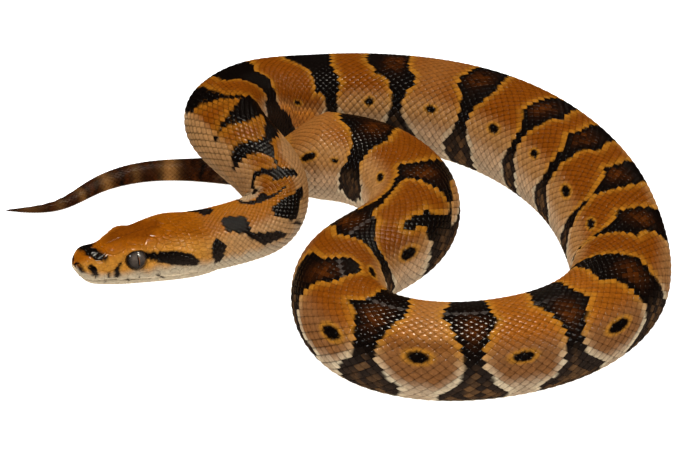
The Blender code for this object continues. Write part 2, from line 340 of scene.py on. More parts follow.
print("deepest fold in mm:", (FOLD_DEEP * strength.max()).round(2))

# %% [markdown]
# ## Sockets, nostrils, pits and mouth
# A python's eye sits in a ring of small scales, and its lips have a row of pits that feel warmth. They
# could be cut with Booleans, but here they are dips in the net, so that skin, scales and rims all
# follow them. Each dip is round, with a steep wall and a rounded rim.

# %% Places of the eyes
EYE_BEHIND = 11.2
EYE_SIDE = 3.4
EYE_HEIGHT = 6.1
EYE_RADIUS = 2.6
EYE_TURN = (0.16, 0.95, 0.26)  # the way an eye looks: forwards, sideways, up
eye_point, eye_rear, eye_left, eye_up = (part[0] for part in line_frames(np.array([EYE_BEHIND])))
eyes = {}
for hand, name in ((1, "eye_left"), (-1, "eye_right")):
    look = -eye_rear * EYE_TURN[0] + hand * eye_left * EYE_TURN[1] + eye_up * EYE_TURN[2]
    place = eye_point + hand * EYE_SIDE * eye_left + EYE_HEIGHT * eye_up
    eyes[name] = (place, look / np.linalg.norm(look))
print("eyes at", [place.round(1).tolist() for place, _ in eyes.values()])

# %% Sockets
EYE_RIM = 2.18                 # radius of the opening
OPENING_LONG = 1.09            # the opening is so much longer than that
OPENING_LOW = 1.07             # and so much lower
RIM_MOST = 2.45                # the rim never lies further from the middle than this
RIM_STANDS = 0.45              # over the ball
RIM_FADES = 0.7                # outwards
SOCKET_DEEP = 0.5              # the skin inside the opening lies so far under the ball
WALL = 0.3                     # width of the steep wall
SOCKET_REACH = 2.2             # beyond the opening
for place, look in eyes.values():
    offset = net - place
    out = offset @ look
    flat = offset - out[..., None] * look
    away = np.linalg.norm(flat, axis=2)
    along_eye = flat @ eye_rear
    across_eye = np.linalg.norm(flat - along_eye[..., None] * eye_rear, axis=2)
    apart = np.hypot(along_eye / OPENING_LONG, across_eye * OPENING_LOW)
    ball = np.sqrt(np.maximum(EYE_RADIUS**2 - np.minimum(away, EYE_RADIUS)**2, 0))
    rim_away = np.minimum(EYE_RIM * away / np.maximum(apart, 1e-6), RIM_MOST)
    rim_level = np.sqrt(EYE_RADIUS**2 - rim_away**2) + RIM_STANDS
    level = out - (out - rim_level) * np.exp(-(np.maximum(apart - EYE_RIM, 0) / RIM_FADES)**2)
    in_socket = np.clip((EYE_RIM - apart) / WALL, 0, 1)
    level = level + (ball - SOCKET_DEEP - level) * in_socket
    near = (apart < EYE_RIM + SOCKET_REACH) & (out > 0)
    net[near] += ((level - out)[..., None] * look)[near]
    print("net points in a socket:", int((in_socket[near] > 0).sum()))

# %% Nostrils and pits
# behind the snout, angle round, radius and depth of the nostrils and of the pits in the lips
NOSTRIL_HOLE = (3.1, 26, 0.36, 0.7)
LIP_PITS = [(0.4, 62, 0.5, 0.8), (2.5, 64, 0.4, 0.7), (4.8, 88, 0.26, 0.4), (6.8, 92, 0.22, 0.3)]
holes = [(s, hand * angle, radius, depth) for s, angle, radius, depth in [NOSTRIL_HOLE] + LIP_PITS
         for hand in (1, -1)]


def net_share(s, angle):
    """The share of the girth at a place given by an angle."""
    row = int(round(float(over_skin(s)) / STEP))
    return float(np.interp(angle, ring_angle, round_share[row]))


def net_index(s, share):
    """Ring and point of the net nearest to a place."""
    return int(round(float(over_skin(s)) / STEP)), int(round((share + 0.5) * AROUND)) % AROUND


HOLE_ROWS = 120                # the rings of the face
HOLE_EDGE = 1.15               # where the wall of a hole starts, in radii
HOLE_WALL = 0.5                # and how wide it is
INTO_HEAD = 3                  # a hole runs to a point so far behind it
for s, angle, radius, depth in holes:
    row, column = net_index(s, net_share(s, angle))
    middle = net[row, column].copy()
    inward = centre[row] + up[row] * NOSE_LEVEL + rear[row] * INTO_HEAD - middle
    inward /= np.linalg.norm(inward)
    apart = np.linalg.norm(net[:HOLE_ROWS] - middle, axis=2)
    fall = np.clip((radius * HOLE_EDGE - apart) / (radius * HOLE_WALL), 0, 1)
    net[:HOLE_ROWS] += inward * (depth * fall)[..., None]
print("holes:", len(holes))

# %% The line of the mouth
MOUTH_FRONT = 2.2              # height at the snout
MOUTH_RISE = 0.035             # and how much it rises for each millimetre behind it
MOUTH_START = 0.8              # over the skin, from the tip of the snout
MOUTH_END = 24.0               # behind the snout
CREASE_DEEP = 0.3
CREASE_WIDE = 0.16
CREASE_FADES = 3               # over the last millimetres


def mouth_level(s):
    """Height of the mouth over the line of the belly."""
    return MOUTH_FRONT + MOUTH_RISE * s


mouth_rows = np.flatnonzero((net_s < MOUTH_END) & (net_u > MOUTH_START))
mouth_share = {}
for i in mouth_rows:
    lower = rise[i, AROUND:] - mouth_level(net_s[i])
    below = np.flatnonzero(lower < 0)
    if len(below) == 0:
        continue
    share = round_share[i, AROUND + below[0]]
    mouth_share[i] = share
    for hand in (1, -1):
        gap = np.abs(even_share[:-1] - hand * share) * girth[i]
        fade = min(1, (MOUTH_END - net_s[i]) / CREASE_FADES)
        crease = CREASE_DEEP * np.exp(-(gap / CREASE_WIDE)**2) * fade
        inward = centre[i] + up[i] * mouth_level(net_s[i]) - net[i]
        inward /= np.maximum(np.linalg.norm(inward, axis=1), 1e-6)[:, None]
        net[i] += inward * crease[:, None]
print("mouth rings:", len(mouth_share))

# %% [markdown]
# ## Places on the skin
# Scales, shields and scutes stand on the skin, so two questions come up again and again: where a point
# at some height over the net lies, and how far round from the middle of the back. A shrinkwrap could
# answer the first for whole objects. Tables over the net answer both for single points.

# %% Which way is out
COAT = 0.16                    # depth of the scales over the skin
FLOOR_GAP = 0.005              # no point of the model comes closer to the floor
padded = np.concatenate([net[:, -1:], net, net[:, :1]], axis=1)
along = np.gradient(net, axis=0)
across = (padded[:, 2:] - padded[:, :-2]) / 2
normals = np.cross(across, along)
normals /= np.maximum(np.linalg.norm(normals, axis=2), 1e-9)[..., None]
normals[:2] = -rear[0]
outwards = np.einsum("ijk,ijk->ij", normals, net - net.mean(axis=1)[:, None])
if np.median(outwards) < 0:
    normals[2:] *= -1
stretch = np.linalg.norm(along, axis=2) / STEP
print("the net is stretched by", stretch.min().round(2), "to", stretch.max().round(2))


# %% Asking the net
def read_net(table, u, share):
    """Values of a table of the net between its points."""
    row = np.clip(np.asarray(u, float) / STEP, 0, len(net_u) - 1.001)
    column = ((np.asarray(share, float) + 0.5) % 1) * AROUND
    i = row.astype(int)
    j = column.astype(int) % AROUND
    a = row - i
    b = column - np.floor(column)
    k = (j + 1) % AROUND
    if table.ndim == 3:
        a = a[..., None]
        b = b[..., None]
    before = (1 - b) * table[i, j] + b * table[i, k]
    behind = (1 - b) * table[i + 1, j] + b * table[i + 1, k]
    return (1 - a) * before + a * behind


def on_skin(u, share, height):
    """Points over the skin; height 0 is the skin itself, COAT the outside of the solids."""
    normal = read_net(normals, u, share)
    normal /= np.maximum(np.linalg.norm(normal, axis=-1), 1e-9)[..., None]
    point = read_net(net, u, share) + normal * (np.asarray(height) - COAT)[..., None]
    point[..., 2] = np.maximum(point[..., 2], FLOOR_GAP)
    return point


def read_angle(u, share):
    """The angle from the middle of the back, in degrees, left positive."""
    wrapped = (np.asarray(share, float) + 0.5) % 1 - 0.5
    angle = read_net(np.abs(net_angle), u, wrapped)
    return np.sign(wrapped) * angle


print("half-way down the left flank, 100 mm on:", read_angle(100.0, 0.25).round(1), "degrees")

# %% [markdown]
# ## The markings
# A ball python is black with pale saddles. Each saddle is orange over the back, tan on the flank and
# cream low down, edged with yellow, and often holds a black spot. An image painted on the skin would
# be the common way. Strokes are used instead, as with a brush: each is a chain of places with a radius,
# and gives the depth inside its edge, so that edges, rims and middles come from one number. Skin and
# scales ask the same function, so they always agree.

# %% Pale strokes
# Each place: behind the snout, angle from the middle of the back with the left side positive, radius.
PALE = [
    # the coat of head and neck is one pale field, and the dark marks are laid over it
    [(-6, 0, 9), (52, 0, 9)], [(-6, 60, 9), (50, 60, 9)], [(-6, -60, 9), (56, -60, 9)],
    [(-6, 120, 12), (50, 120, 12)], [(-6, -120, 12), (62, -120, 9)], [(50, -30, 9), (66, -100, 9)],
    # lobes where the neck bends and climbs
    [(56, 25, 4), (57.5, 60, 5), (57, 110, 6), (56, 147, 6)],
    [(58.6, -66, 1.9), (59.1, -40, 1.7), (57.6, -22, 1.4), (57.2, -14, 0.8)],
    [(57, -2, 1.1), (56.4, 6, 1.1), (55.6, 16, 0.9), (58.6, 26, 1.9), (59.5, 60, 2.4)],
    [(63.6, -66, 1.7), (63.8, -38, 1.4), (63.1, -14, 1.9), (62.9, 0, 1.5), (63.7, 15, 1.0),
     (64.6, 30, 0.8), (65, 45, 0.7)],
    [(68, -80, 3), (68, -38, 2.3), (68, -20, 1.7), (68.5, 2, 1.0), (69, 20, 0.4)],
    [(77, -35, 2.0), (74, -15, 1.6), (72.5, 5, 2.6), (73.5, 25, 3.5), (74.5, 45, 3.0), (72, 66, 3),
     (71, 95, 4)],
    # saddles, from the climb round the coil
    [(93, -95, 5), (93, -60, 5), (92.6, -30, 3.8), (91.8, -14, 4.2), (90.8, 2, 4.9), (91.8, 15, 6.6),
     (93, 28, 7.4), (93.2, 42, 9.0), (92.8, 56, 10.0)],
    [(84, 66, 2.2), (87, 78, 2.4), (95, 82, 3.4), (102.5, 65, 3.2)],
    [(95, 80, 3.4), (100, 100, 4.0), (101, 147, 5)],
    [(110.6, -95, 5.5), (110.6, -55, 4.2), (110.6, -25, 3.8), (110.8, 0, 3.7), (113.5, 28, 4.2),
     (115.5, 57, 6.9), (116.5, 85, 5.2), (117, 115, 4.2), (117, 147, 5)],
    [(130, -95, 5.5), (130, -60, 7.2), (130, -15, 6.6), (131, 12, 4.8), (132, 33, 5.2), (132.7, 57, 7.6),
     (133, 82, 5.1), (134.3, 105, 3.2), (134.5, 147, 4.2)],
    [(148.5, -95, 5), (148.8, -60, 6.6), (149.3, -20, 5.3), (149.7, 8, 4.4), (149.8, 28, 5.0),
     (151, 53, 7.6), (151.8, 82, 6.0), (152.3, 110, 5.7), (152.3, 147, 6)],
    [(160, -95, 4.5), (161.4, -58, 2.8), (163, -28, 2.6), (165.2, -4, 2.5), (164.2, 12, 3.2),
     (166, 40, 5.7), (167, 58, 6.0), (167.2, 88, 4.5), (167.5, 112, 4.7), (167.5, 147, 5)],
    [(171, -95, 4.5), (172.4, -62, 3.0), (174.4, -38, 2.8), (178, -9, 2.6), (177.3, 8, 3.5),
     (180.5, 31, 5.8), (183, 50, 7.2), (184.5, 72, 5.9), (184.5, 95, 4.6), (184.5, 147, 5)],
    [(183, -95, 4.5), (184.6, -75, 4), (187.2, -52, 3.3), (190.2, -25, 3.2), (191.5, -5, 3.4),
     (192.3, 15, 3.6), (196, 33, 4.6), (198, 50, 5.0), (199, 75, 4.2), (199, 147, 4)],
    [(203.5, -147, 3), (203.8, -100, 3.5), (204.5, -75, 5.5), (205, -46, 5.2), (206.3, -20, 2.8),
     (206, 5, 3.8), (206.5, 25, 4.2), (208, 50, 4.6), (209, 75, 4.2), (209, 147, 4)],
    [(222, -147, 3), (222, -105, 2.5), (221.9, -85, 4.6), (221.8, -66, 6.5), (221, -46, 5.2),
     (220, -30, 3.7), (220.7, -17, 2.1), (221.5, -2, 2.9), (221.5, 10, 3.4), (220.5, 26, 3.6),
     (220, 60, 5.5), (220, 90, 4), (220, 147, 4)],
    [(238.3, -147, 3), (238.3, -108, 2.5), (238.2, -94, 4.1), (237.8, -78, 6.0), (238.2, -62, 6.8),
     (237.4, -46, 6.4), (237, -30, 5.2), (237.8, -14, 2.7), (238.2, 2, 4.1), (237.6, 24, 4.6),
     (237.5, 60, 6), (237.5, 90, 4.2), (237.5, 147, 4)],
    [(255, -147, 3.2), (254.6, -112, 2.8), (254.3, -99, 2.6), (253.8, -86, 4.6), (254, -73, 6.0),
     (254.6, -60, 6.5), (254.7, -46, 5.7), (254.5, -30, 4.7), (254.8, -8, 3.2), (254.7, 8, 3.4),
     (254.5, 30, 4.6), (254.5, 60, 5.8), (254.5, 90, 4.2), (254.5, 147, 4)],
    [(268, -147, 2.8), (268.3, -112, 1.9), (268.2, -97, 2.0), (269, -81, 4.1), (269.9, -66, 5.9),
     (270.6, -52, 5.9), (271.9, -38, 4.4), (272.2, -20, 2.8), (271, -6, 2.7), (270.9, 8, 4.5),
     (272, 24, 4.3), (273, 38, 2.6)],
    [(286, -110, 4), (286, -85, 5), (287.5, -60, 3.6), (288.8, -41, 3.4), (286.8, -25, 3.0),
     (285.4, -9, 3.7), (286, 12, 3.7), (284.5, 28, 3.6), (281.5, 45, 3.4), (278, 62, 4.5), (278, 95, 4),
     (278, 147, 4)],
    [(272.5, 36, 1.5), (276, 44, 3.2), (281, 44, 3.4), (284.5, 40, 2.5)],
    [(305.5, -3, 2.6), (311, -3, 2.8), (309.8, 25, 2.8), (309.5, 44, 2.5)], [(301, 10, 3.6), (309, 8, 4.0)],
    [(318, -84, 4), (322.5, -84, 3)],
    [(310.5, 70, 1.2), (316, 64, 2.4)],
    [(318, -128, 4.5), (343, -128, 4.5)],
    [(300, -38, 1.0), (307, -42, 2.4), (315, -48, 4.0)],
    [(305, 5, 3), (301, 28, 3.2), (298, 45, 5.5), (297.3, 60, 7.0), (298.3, 80, 5.2), (297.8, 103, 4.8),
     (297.5, 147, 5)],
    [(302.5, -48, 1.6), (308, -43, 2.6), (315, -46, 4.0), (322, -48, 5.2), (325.5, -46, 4.4),
     (324.5, -28, 5.4), (324.6, -10, 4.8), (324, 0, 4.7), (325, 15, 5.0), (326.5, 30, 5.0),
     (327.5, 60, 5.6), (328, 90, 4.5), (328, 147, 4.5)],
    [(312, -60, 4), (314, -85, 5), (316, -110, 6), (316, -147, 6)],
    [(342.5, -147, 6), (342.5, -100, 5.5), (342, -70, 6.0), (342.5, -50, 7.3), (345, -30, 6.8),
     (346.5, -10, 6.0), (347.5, 12, 5.5), (348, 40, 5.5), (348, 90, 5), (348, 147, 5)],
    [(361, -147, 3), (361, -60, 3), (361, 0, 2.5), (361, 60, 3), (361, 147, 3)],
]
print("pale strokes:", len(PALE))


# %% Dark strokes
def both_sides(chains):
    """The same strokes on the left and on the right."""
    return [[(s, hand * q, radius) for s, q, radius in chain] for chain in chains for hand in (1, -1)]


DARK = both_sides([
    # snout, lips, the stripe behind the eye, and the side of the nape
    [(0.25, 30, 0.3), (0.5, 58, 0.5), (0.9, 78, 0.3)], [(2.1, 60, 0.5), (2.6, 72, 0.6), (3.1, 86, 0.35)],
    [(5.6, 80, 0.26), (5.5, 93, 0.2)], [(7.6, 60, 0.35), (7.0, 72, 0.4), (7.1, 82, 0.55), (7.0, 92, 0.4)],
    [(12.4, 56, 0.6), (15, 62, 1.05), (18, 69, 1.5), (21, 76, 1.5), (22.6, 82, 0.9)],
    [(14.6, 98, 0.2), (16.4, 113, 0.25)], [(28.6, 60, 1.3), (28.8, 72, 2.0), (28.9, 88, 1.3)],
]) + [
    # crown of the snout and marks on the left lips
    [(2.4, -36, 0.9), (3.0, -20, 1.3), (4.4, -24, 0.7)],
    [(2.4, 2, 0.6), (3.2, 14, 1.2), (3.8, 28, 1.3), (4.9, 39, 0.7)],
    [(9.2, 100, 0.12), (9.6, 107, 0.14)],
    [(11.2, 97, 0.14), (11.3, 101, 0.12)],
    [(5.2, 107, 0.15), (5.3, 111, 0.12)],
    # nape and neck
    [(28.6, -36, 1.6), (30, -20, 1.5), (29.3, -10, 0.6)],
    [(32.8, 30, 1.7), (34.8, 38, 1.9), (35.6, 50, 1.0)],
    [(35.6, 54, 0.6), (37.2, 68, 0.8), (39.5, 80, 1.4), (42, 85, 1.2), (43.4, 92, 0.5)],
    [(43.9, 42, 1.2), (46.5, 48, 2.1), (50, 47, 0.9)], [(45.6, 52, 2.0), (45.9, 64, 1.4), (46, 76, 0.4)],
    [(45.6, 82, 0.4), (47, 100, 0.4)],
    [(38.3, -33, 0.35), (38.1, -12, 0.5), (39.3, -1, 0.7), (41.5, 5, 0.6), (44.5, 9, 0.6),
     (47.5, 13.5, 0.4), (50.2, 13.8, 0.3)],
    [(41.5, 3, 0.7), (44.3, 1, 1.2), (45.8, -6, 0.5)],
    [(43.7, -21, 0.4), (47.9, -30, 0.5), (54.6, -63, 0.4), (56, -67, 0.4), (56.9, -61, 0.5),
     (57.3, -49, 0.6), (56.7, -36, 0.65), (55.3, -22, 0.9), (54.1, -8, 1.6), (53.9, 2, 1.25),
     (53.8, 12, 0.95), (53.4, 24, 0.5), (52.9, 32, 0.2)],
    [(55.5, -9, 0.35), (57.5, -10, 0.3), (59, -10, 0.9), (60, -6, 1.1), (60.6, -26, 0.8)],
    [(61, -75, 0.3), (61.8, -52, 0.9), (61.6, -40, 1.1), (61, -22, 0.9), (60.6, -6, 0.6), (61.1, 8, 0.7),
     (62, 24, 1.1), (63, 40, 1.5), (66, 60, 1.9)],
    [(65.2, -60, 0.15), (65.6, -40, 0.25), (65.8, -22, 0.6), (66, -8, 1.1), (66.2, 7, 1.5), (67, 25, 2.0),
     (68, 45, 2.4)],
    [(72.8, -62, 1.6), (72, -40, 1.7), (71.4, -22, 1.2), (70, -4, 0.5), (69.7, 12, 0.4), (69.8, 26, 0.5)],
    # the climb over the tail
    [(87, -60, 2.6), (86.5, -35, 3.0), (85.5, -22, 3.0), (83.5, -12, 3.1), (81.2, 2, 3.3), (80, 12, 2.6),
     (82.3, 22, 3.1), (81, 38, 2.5), (79.3, 53, 1.5), (78.8, 61, 0.7)],
    [(76.5, 76, 2), (79.5, 88, 3), (84, 104, 4), (90, 110, 3.5), (93.5, 112, 2.5)],
    # the hook inside the left turn
    [(301, 35, 0.9), (304, 36, 1.1), (306.4, 46, 1.1), (307.6, 56, 1.2), (309, 64, 1.0)],
    [(303, -21, 0.6), (309, -22, 0.6), (314, -20, 0.7)],
    # the oval low on the flank before the tail
    [(330, -70, 2.4), (333, -80, 4.0), (331.5, -92, 3.5)],
]
print("dark strokes:", len(DARK))

# %% Spots, blotches and bands
# behind the snout, angle, reach along, reach round in mm
SPOTS = [
    (95, 61, 1.9, 0.5), (116.8, 57, 1.1, 0.9), (132.5, 56, 1.5, 0.8), (151.6, 52, 1.6, 1.0),
    (166.4, 49, 1.35, 0.85), (183, 48, 2.0, 1.0), (197.5, 35, 1.8, 0.8), (221.7, -65, 2.0, 1.15),
    (238.6, -64, 1.9, 1.0), (254.8, -60, 1.75, 1.2), (267.8, -61, 1.5, 1.3), (278.3, 40, 2.6, 0.8),
    (298.5, 65, 2.0, 1.2), (318.3, -43, 2.1, 0.8), (339.6, -58, 1.2, 0.5), (347, -54, 1.8, 0.85),
]
# the saddles whose other side is unseen have a spot there too: behind the snout, angle
SPOTS += [(s, q, 1.5, 0.9) for s, q in [
    (110.6, -58), (130, -57), (148.8, -58), (220, 60), (237.5, 60), (254.5, 60), (327.5, 60), (93, -60),
]]
# rusty blotches in the dark ground: behind the snout, angle
BLOTCHES = [
    (121, -5), (140, 0), (157, 0), (170, -4), (183, -12), (197, -24), (213, -26), (229, -26),
    (246, -24), (263, -20), (278, -22), (294, -20), (301, 12), (316, 12), (334, 10),
]
# the pale bands of the tail: behind the snout, half width, strength
TAIL_BANDS = [
    (377, 1.7, 0.95), (384.5, 1.0, 0.3), (391.5, 1.4, 0.7), (398, 0.9, 0.5), (403, 1.0, 0.3),
    (409, 2.5, 0.25),
]
TAIL_DARK = 366.0              # from here on the ground is dark
print("spots:", len(SPOTS), "blotches:", len(BLOTCHES), "bands:", len(TAIL_BANDS))

# %% Depth inside the strokes
FAR_OUT = -50.0                # depth of a place that is near no stroke


def stroke_depth(s, angle, scale, chain):
    """How deep places lie inside a stroke, in mm; below 0 is outside."""
    best = np.full(s.shape, FAR_OUT)
    for (s0, q0, r0), (s1, q1, r1) in zip(chain, chain[1:]):
        near = np.flatnonzero((s > min(s0, s1) - r0 - r1 - 2) & (s < max(s0, s1) + r0 + r1 + 2))
        if len(near) == 0:
            continue
        ax = s[near] - s0
        ay = (angle[near] - q0) * scale[near]
        bx = s1 - s0
        by = (q1 - q0) * scale[near]
        t = np.clip((ax * bx + ay * by) / (bx**2 + by**2), 0, 1)
        depth = r0 + t * (r1 - r0) - np.hypot(ax - t * bx, ay - t * by)
        best[near] = np.maximum(best[near], depth)
    return best


def pale_depth(s, angle, scale):
    """Depth inside the pale saddles: above 0 is pale, below 0 is dark."""
    depth = np.full(s.shape, FAR_OUT)
    for chain in PALE:
        depth = np.maximum(depth, stroke_depth(s, angle, scale, chain))
    for chain in DARK:
        depth = np.minimum(depth, -stroke_depth(s, angle, scale, chain))
    return depth


sample = np.array([150.0]), np.array([0.0]), np.array([0.2])
print("depth in the saddle 150 mm behind the snout:", pale_depth(*sample), "mm")

# %% [markdown]
# ## The colours of the markings
# Colours are written as the sRGB hex values that a paint chart would give, and one function makes them
# linear, which is what shaders work in. Each colour is mixed by how deep a place lies in its saddle
# and by how far down the flank it is.

# %% The palette
def colour(text):
    """Linear red, green and blue of an sRGB hex value."""
    value = np.array([int(text[k:k + 2], 16) / 255 for k in (0, 2, 4)])
    return np.where(value <= 0.04045, value / 12.92, ((value + 0.055) / 1.055)**2.4)


BACK_DULL = colour("763A06")   # over the back
# partly a painted highlight: brighter orange over the back at the front of the coil
BACK_BRIGHT_AND_HIGHLIGHT = colour("925010")  # over the back at the front of the coil
# partly a painted sheen: tan over the back of the palest saddles
BACK_TAN_AND_SHEEN = colour("A06A34")    # over the back of the palest saddles
RIM = colour("B87A20")         # edge of a saddle
TAN = colour("A87642")         # left flank
RIGHT_TAN = colour("80522C")   # right flank
TAN_RIM = colour("D2BE9C")
LEFT_LOW = colour("C8A27A")
# real cream, made darker as painted shade where the low flank faces down
CREAM_WITH_PAINTED_SHADE = colour("A88F72")       # low on the flank
BELLY = colour("C6B698")
HEAD = colour("8C4A06")        # crown
TEMPLE = colour("BC7E2E")
LIP = colour("B2A084")
NECK = colour("985810")
NECK_SIDE = colour("B88A58")
BLACK = colour("0C0705")
RUST = colour("5E2C06")        # blotches in the dark ground
LOW_BLACK = colour("2A211B")   # dark ground low on the flank
CROWN_BROWN = colour("6A3204")
# painted shadow: a darker band under the crest of the palest saddle
PAINTED_SHADOW_BAND = colour("74441C")  # a darker band over the palest saddle
LOW_BROWN = colour("66482C")   # speckle low on the dark flank
# a painted sheen along the ridge of the spine
SPINE_SHEEN_GREY = colour("6E645C")
TAIL_PALE = colour("8A5E30")
FAR_TAN = colour("A48A68")     # right side of the neck
BEND_TAN = colour("A27648")    # left side of the neck's bend
BEND_FAR = colour("8C6842")    # right side
LOW_ORANGE = colour("D88426")  # under the first saddle
# fields of another colour inside the pale coat, each over those before it
FIELDS = [
    (CROWN_BROWN, [(8.5, -14, 2.0), (13.5, -8, 3.4), (17, -6, 1.6)]),
    # a painted shadow band across the palest saddle
    (PAINTED_SHADOW_BAND, [(250.5, -46, 1.0), (259, -46, 1.0)]),
    (FAR_TAN, [(39.5, -20, 1.4), (42.5, -34, 3), (46, -50, 4), (50, -72, 4.5)]),
    (BEND_TAN, [(52, 56, 3.2), (54.5, 42, 3.2), (57.5, 24, 2.2), (58.5, 60, 4)]),
    (BEND_FAR, [(58, -114, 4.5), (70, -108, 4.5)]), (BEND_TAN, [(58, -78, 3), (68, -72, 3)]),
    (LOW_ORANGE, [(83, 80, 1.6), (92, 86, 2.4), (101, 84, 2.4)]),
]
print("fields:", len(FIELDS), "black is", BLACK.round(4), "in linear values")


# %% Soft steps, mixing and patches
def ramp(value, start, end):
    """A soft step from 0 at start to 1 at end."""
    t = np.clip((value - start) / (end - start), 0, 1)
    return t * t * (3 - 2 * t)


def blend(base, other, share):
    """Mix another colour into a base, by a share for each place."""
    return base + (other - base) * share[..., None]


def waves(s, angle, seed):
    """Soft patches from -1 to 1 that never repeat along the body."""
    total = 0
    for k in range(1, 5):
        turn = seed * 1.7 + k * 2.1
        total = total + np.sin(s * (0.31 + 0.37 * k) + turn + 1.3 * np.sin(np.radians(angle) * k + turn))
    return total / 4


print("a soft step at its middle:", ramp(np.array([5.0]), 0, 10))


# %% The pale coat
def saddle_back(s, neck, head):
    """Over the back: orange, brighter at the front of the coil and tan in the palest saddles, both partly
    painted highlight.
    """
    plain = 0 * s[..., None]
    # partly painted highlight and sheen: brighter and paler backs at the front of the coil and in the palest
    # saddles
    brighter_and_highlight = ramp(s, 205, 228) * (1 - ramp(s, 258, 276)) + 0.5 * ramp(s, 330, 346)
    orange = blend(BACK_DULL + plain, BACK_BRIGHT_AND_HIGHLIGHT, brighter_and_highlight)
    tan = 0.4 * np.exp(-((s - 130) / 6)**2) + 0.8 * np.exp(-((s - 252) / 7)**2) + 0.6 * ramp(s, 336, 347)
    return blend(blend(blend(orange, BACK_TAN_AND_SHEEN, tan), NECK, neck), HEAD, head)


def saddle_flank(s, low, right, neck, head):
    """The flanks: tan, darker on the right side at the front of the coil, paler low on the left."""
    plain = 0 * s[..., None]
    tone = blend(blend(TAN + plain, RIGHT_TAN, right), NECK_SIDE, neck)
    tone = blend(tone, TEMPLE, head)
    return blend(tone, LEFT_LOW, ramp(low, 64, 90) * (1 - neck) * (1 - right))


def pale_coat(s, angle, scale, depth):
    """The saddles: back into flank, a rim along the edge, cream low down darkened as painted shade, and the
    fields over that.
    """
    low = np.abs(angle)
    plain = 0 * s[..., None]
    head = 1 - ramp(s, 22, 36)
    face = 1 - ramp(s, 30, 48)
    neck = 1 - ramp(s, 42, 53)
    right = ramp(-angle, 10, 40) * ramp(s, 190, 215) * (1 - ramp(s, 300, 312))
    # In some places the colour of the back reaches this many degrees further down.
    later = 20 * (ramp(s, 60, 75) * (1 - ramp(s, 102, 114)) + 0.5 * ramp(angle, 0, 20) * ramp(s, 286, 294))
    later = later - 12 * ramp(-angle, 0, 20) * ramp(s, 296, 306)
    down = ramp(low, 34 - 10 * head + later, 62 + later)
    pale = blend(saddle_back(s, neck, head), saddle_flank(s, low, right, neck, head), down)
    rim = np.exp(-(np.maximum(depth, 0) / 1.0)**2) * (1 - neck) * (0.6 + 0.4 * ramp(low, 45, 85))
    rim = rim * (0.55 + 0.45 * ramp(s, 70, 90))
    pale = blend(pale, blend(RIM + plain, TAN_RIM, ramp(low, 48, 88)), rim)
    cream_from = 86 - 16 * head + 6 * waves(s, angle, 5)
    # painted shade: the cream low on the flank is darker than the animal's own
    shaded_cream_tone = blend(CREAM_WITH_PAINTED_SHADE + plain, TAN_RIM, 0.7 * rim)
    pale = blend(pale, blend(shaded_cream_tone, LIP, face), ramp(low, cream_from, cream_from + 24))
    for tone, chain in FIELDS:
        pale = blend(pale, tone, 0.85 * ramp(stroke_depth(s, angle, scale, chain), -0.8, 0.8))
    return pale


print("the coat 150 mm behind the snout:", pale_coat(*sample, pale_depth(*sample)).round(3))

# %% The dark ground and the tail
BLOTCH_LONG = 2.3              # reach of a rusty blotch along the body
BLOTCH_WIDE = 2.8              # and round it


def dark_ground(s, angle, scale, depth, grain):
    """Black, rusty in blotches on the back, brown and speckled low down, a painted grey sheen on the spine.
    """
    low = np.abs(angle)
    blotch = np.zeros(s.shape)
    for at, q in BLOTCHES:
        off = ((s - at) / BLOTCH_LONG)**2 + ((angle - q) * scale / BLOTCH_WIDE)**2
        blotch = np.maximum(blotch, np.exp(-off))
    rusty = np.clip(0.35 + 0.9 * grain + 0.35 * waves(s * 3, angle, 11), 0, 1)
    rust = blotch * rusty * ramp(-depth, 0.4, 1.4)
    dark = blend(BLACK + 0 * s[..., None], LOW_BLACK, ramp(low, 55, 90))
    dark = blend(dark, RUST, 0.55 * rust)
    soft = 0.4 + 0.6 * waves(s * 2.2, angle * 3, 7) + 0.9 * (grain - 0.5)
    speckle = ramp(low, 58, 84) * ramp(-depth, 0.7, 2.2) * np.clip(soft, 0, 1) * ramp(s, 104, 124)
    dark = blend(dark, LOW_BROWN, 0.9 * speckle)
    # painted sheen: a thin grey line along the ridge of the spine at the front of the coil
    painted_spine_sheen = np.exp(-(angle * scale / 0.3)**2) * ramp(s, 225, 240) * (1 - ramp(s, 290, 305))
    return blend(dark, SPINE_SHEEN_GREY, 0.3 * painted_spine_sheen)


def tail_coat(s, angle):
    """Dark brown with paler bands, which are stronger on the sides."""
    tone = blend(BLACK + 0 * s[..., None], RUST, 0.2 + 0.2 * waves(s * 2, angle, 13))
    for at, half, strength in TAIL_BANDS:
        band = np.exp(-((s - at) / half)**2) * (0.6 + 0.4 * ramp(np.abs(angle), 10, 50))
        tone = blend(tone, TAIL_PALE, strength * band)
    return tone


print("the tail's first band, on its side:", tail_coat(np.array([377.0]), np.array([60.0])).round(3))

# %% All markings together
WAVER = 0.12                   # how far an edge strays, in mm
GRAIN_TONE = 0.14              # how much lighter the lightest scale is than the darkest


def marking(s, angle, scale, grain):
    """Linear colour of every place; grain is a small random number for each scale."""
    depth = pale_depth(s, angle, scale) + WAVER * waves(s * 4, angle * 5, 3)
    pale = pale_coat(s, angle, scale, depth)
    result = blend(pale, dark_ground(s, angle, scale, depth, grain), ramp(-depth, -0.12, 0.12))
    result = blend(result, tail_coat(s, angle), ramp(s, TAIL_DARK - 3, TAIL_DARK + 3))
    belly = ramp(np.abs(angle), 128, 146)
    result = blend(result, BELLY, belly * (0.92 - 0.5 * ramp(s, 350, 380)))
    return result * (1 + GRAIN_TONE * (grain - 0.5))[..., None]


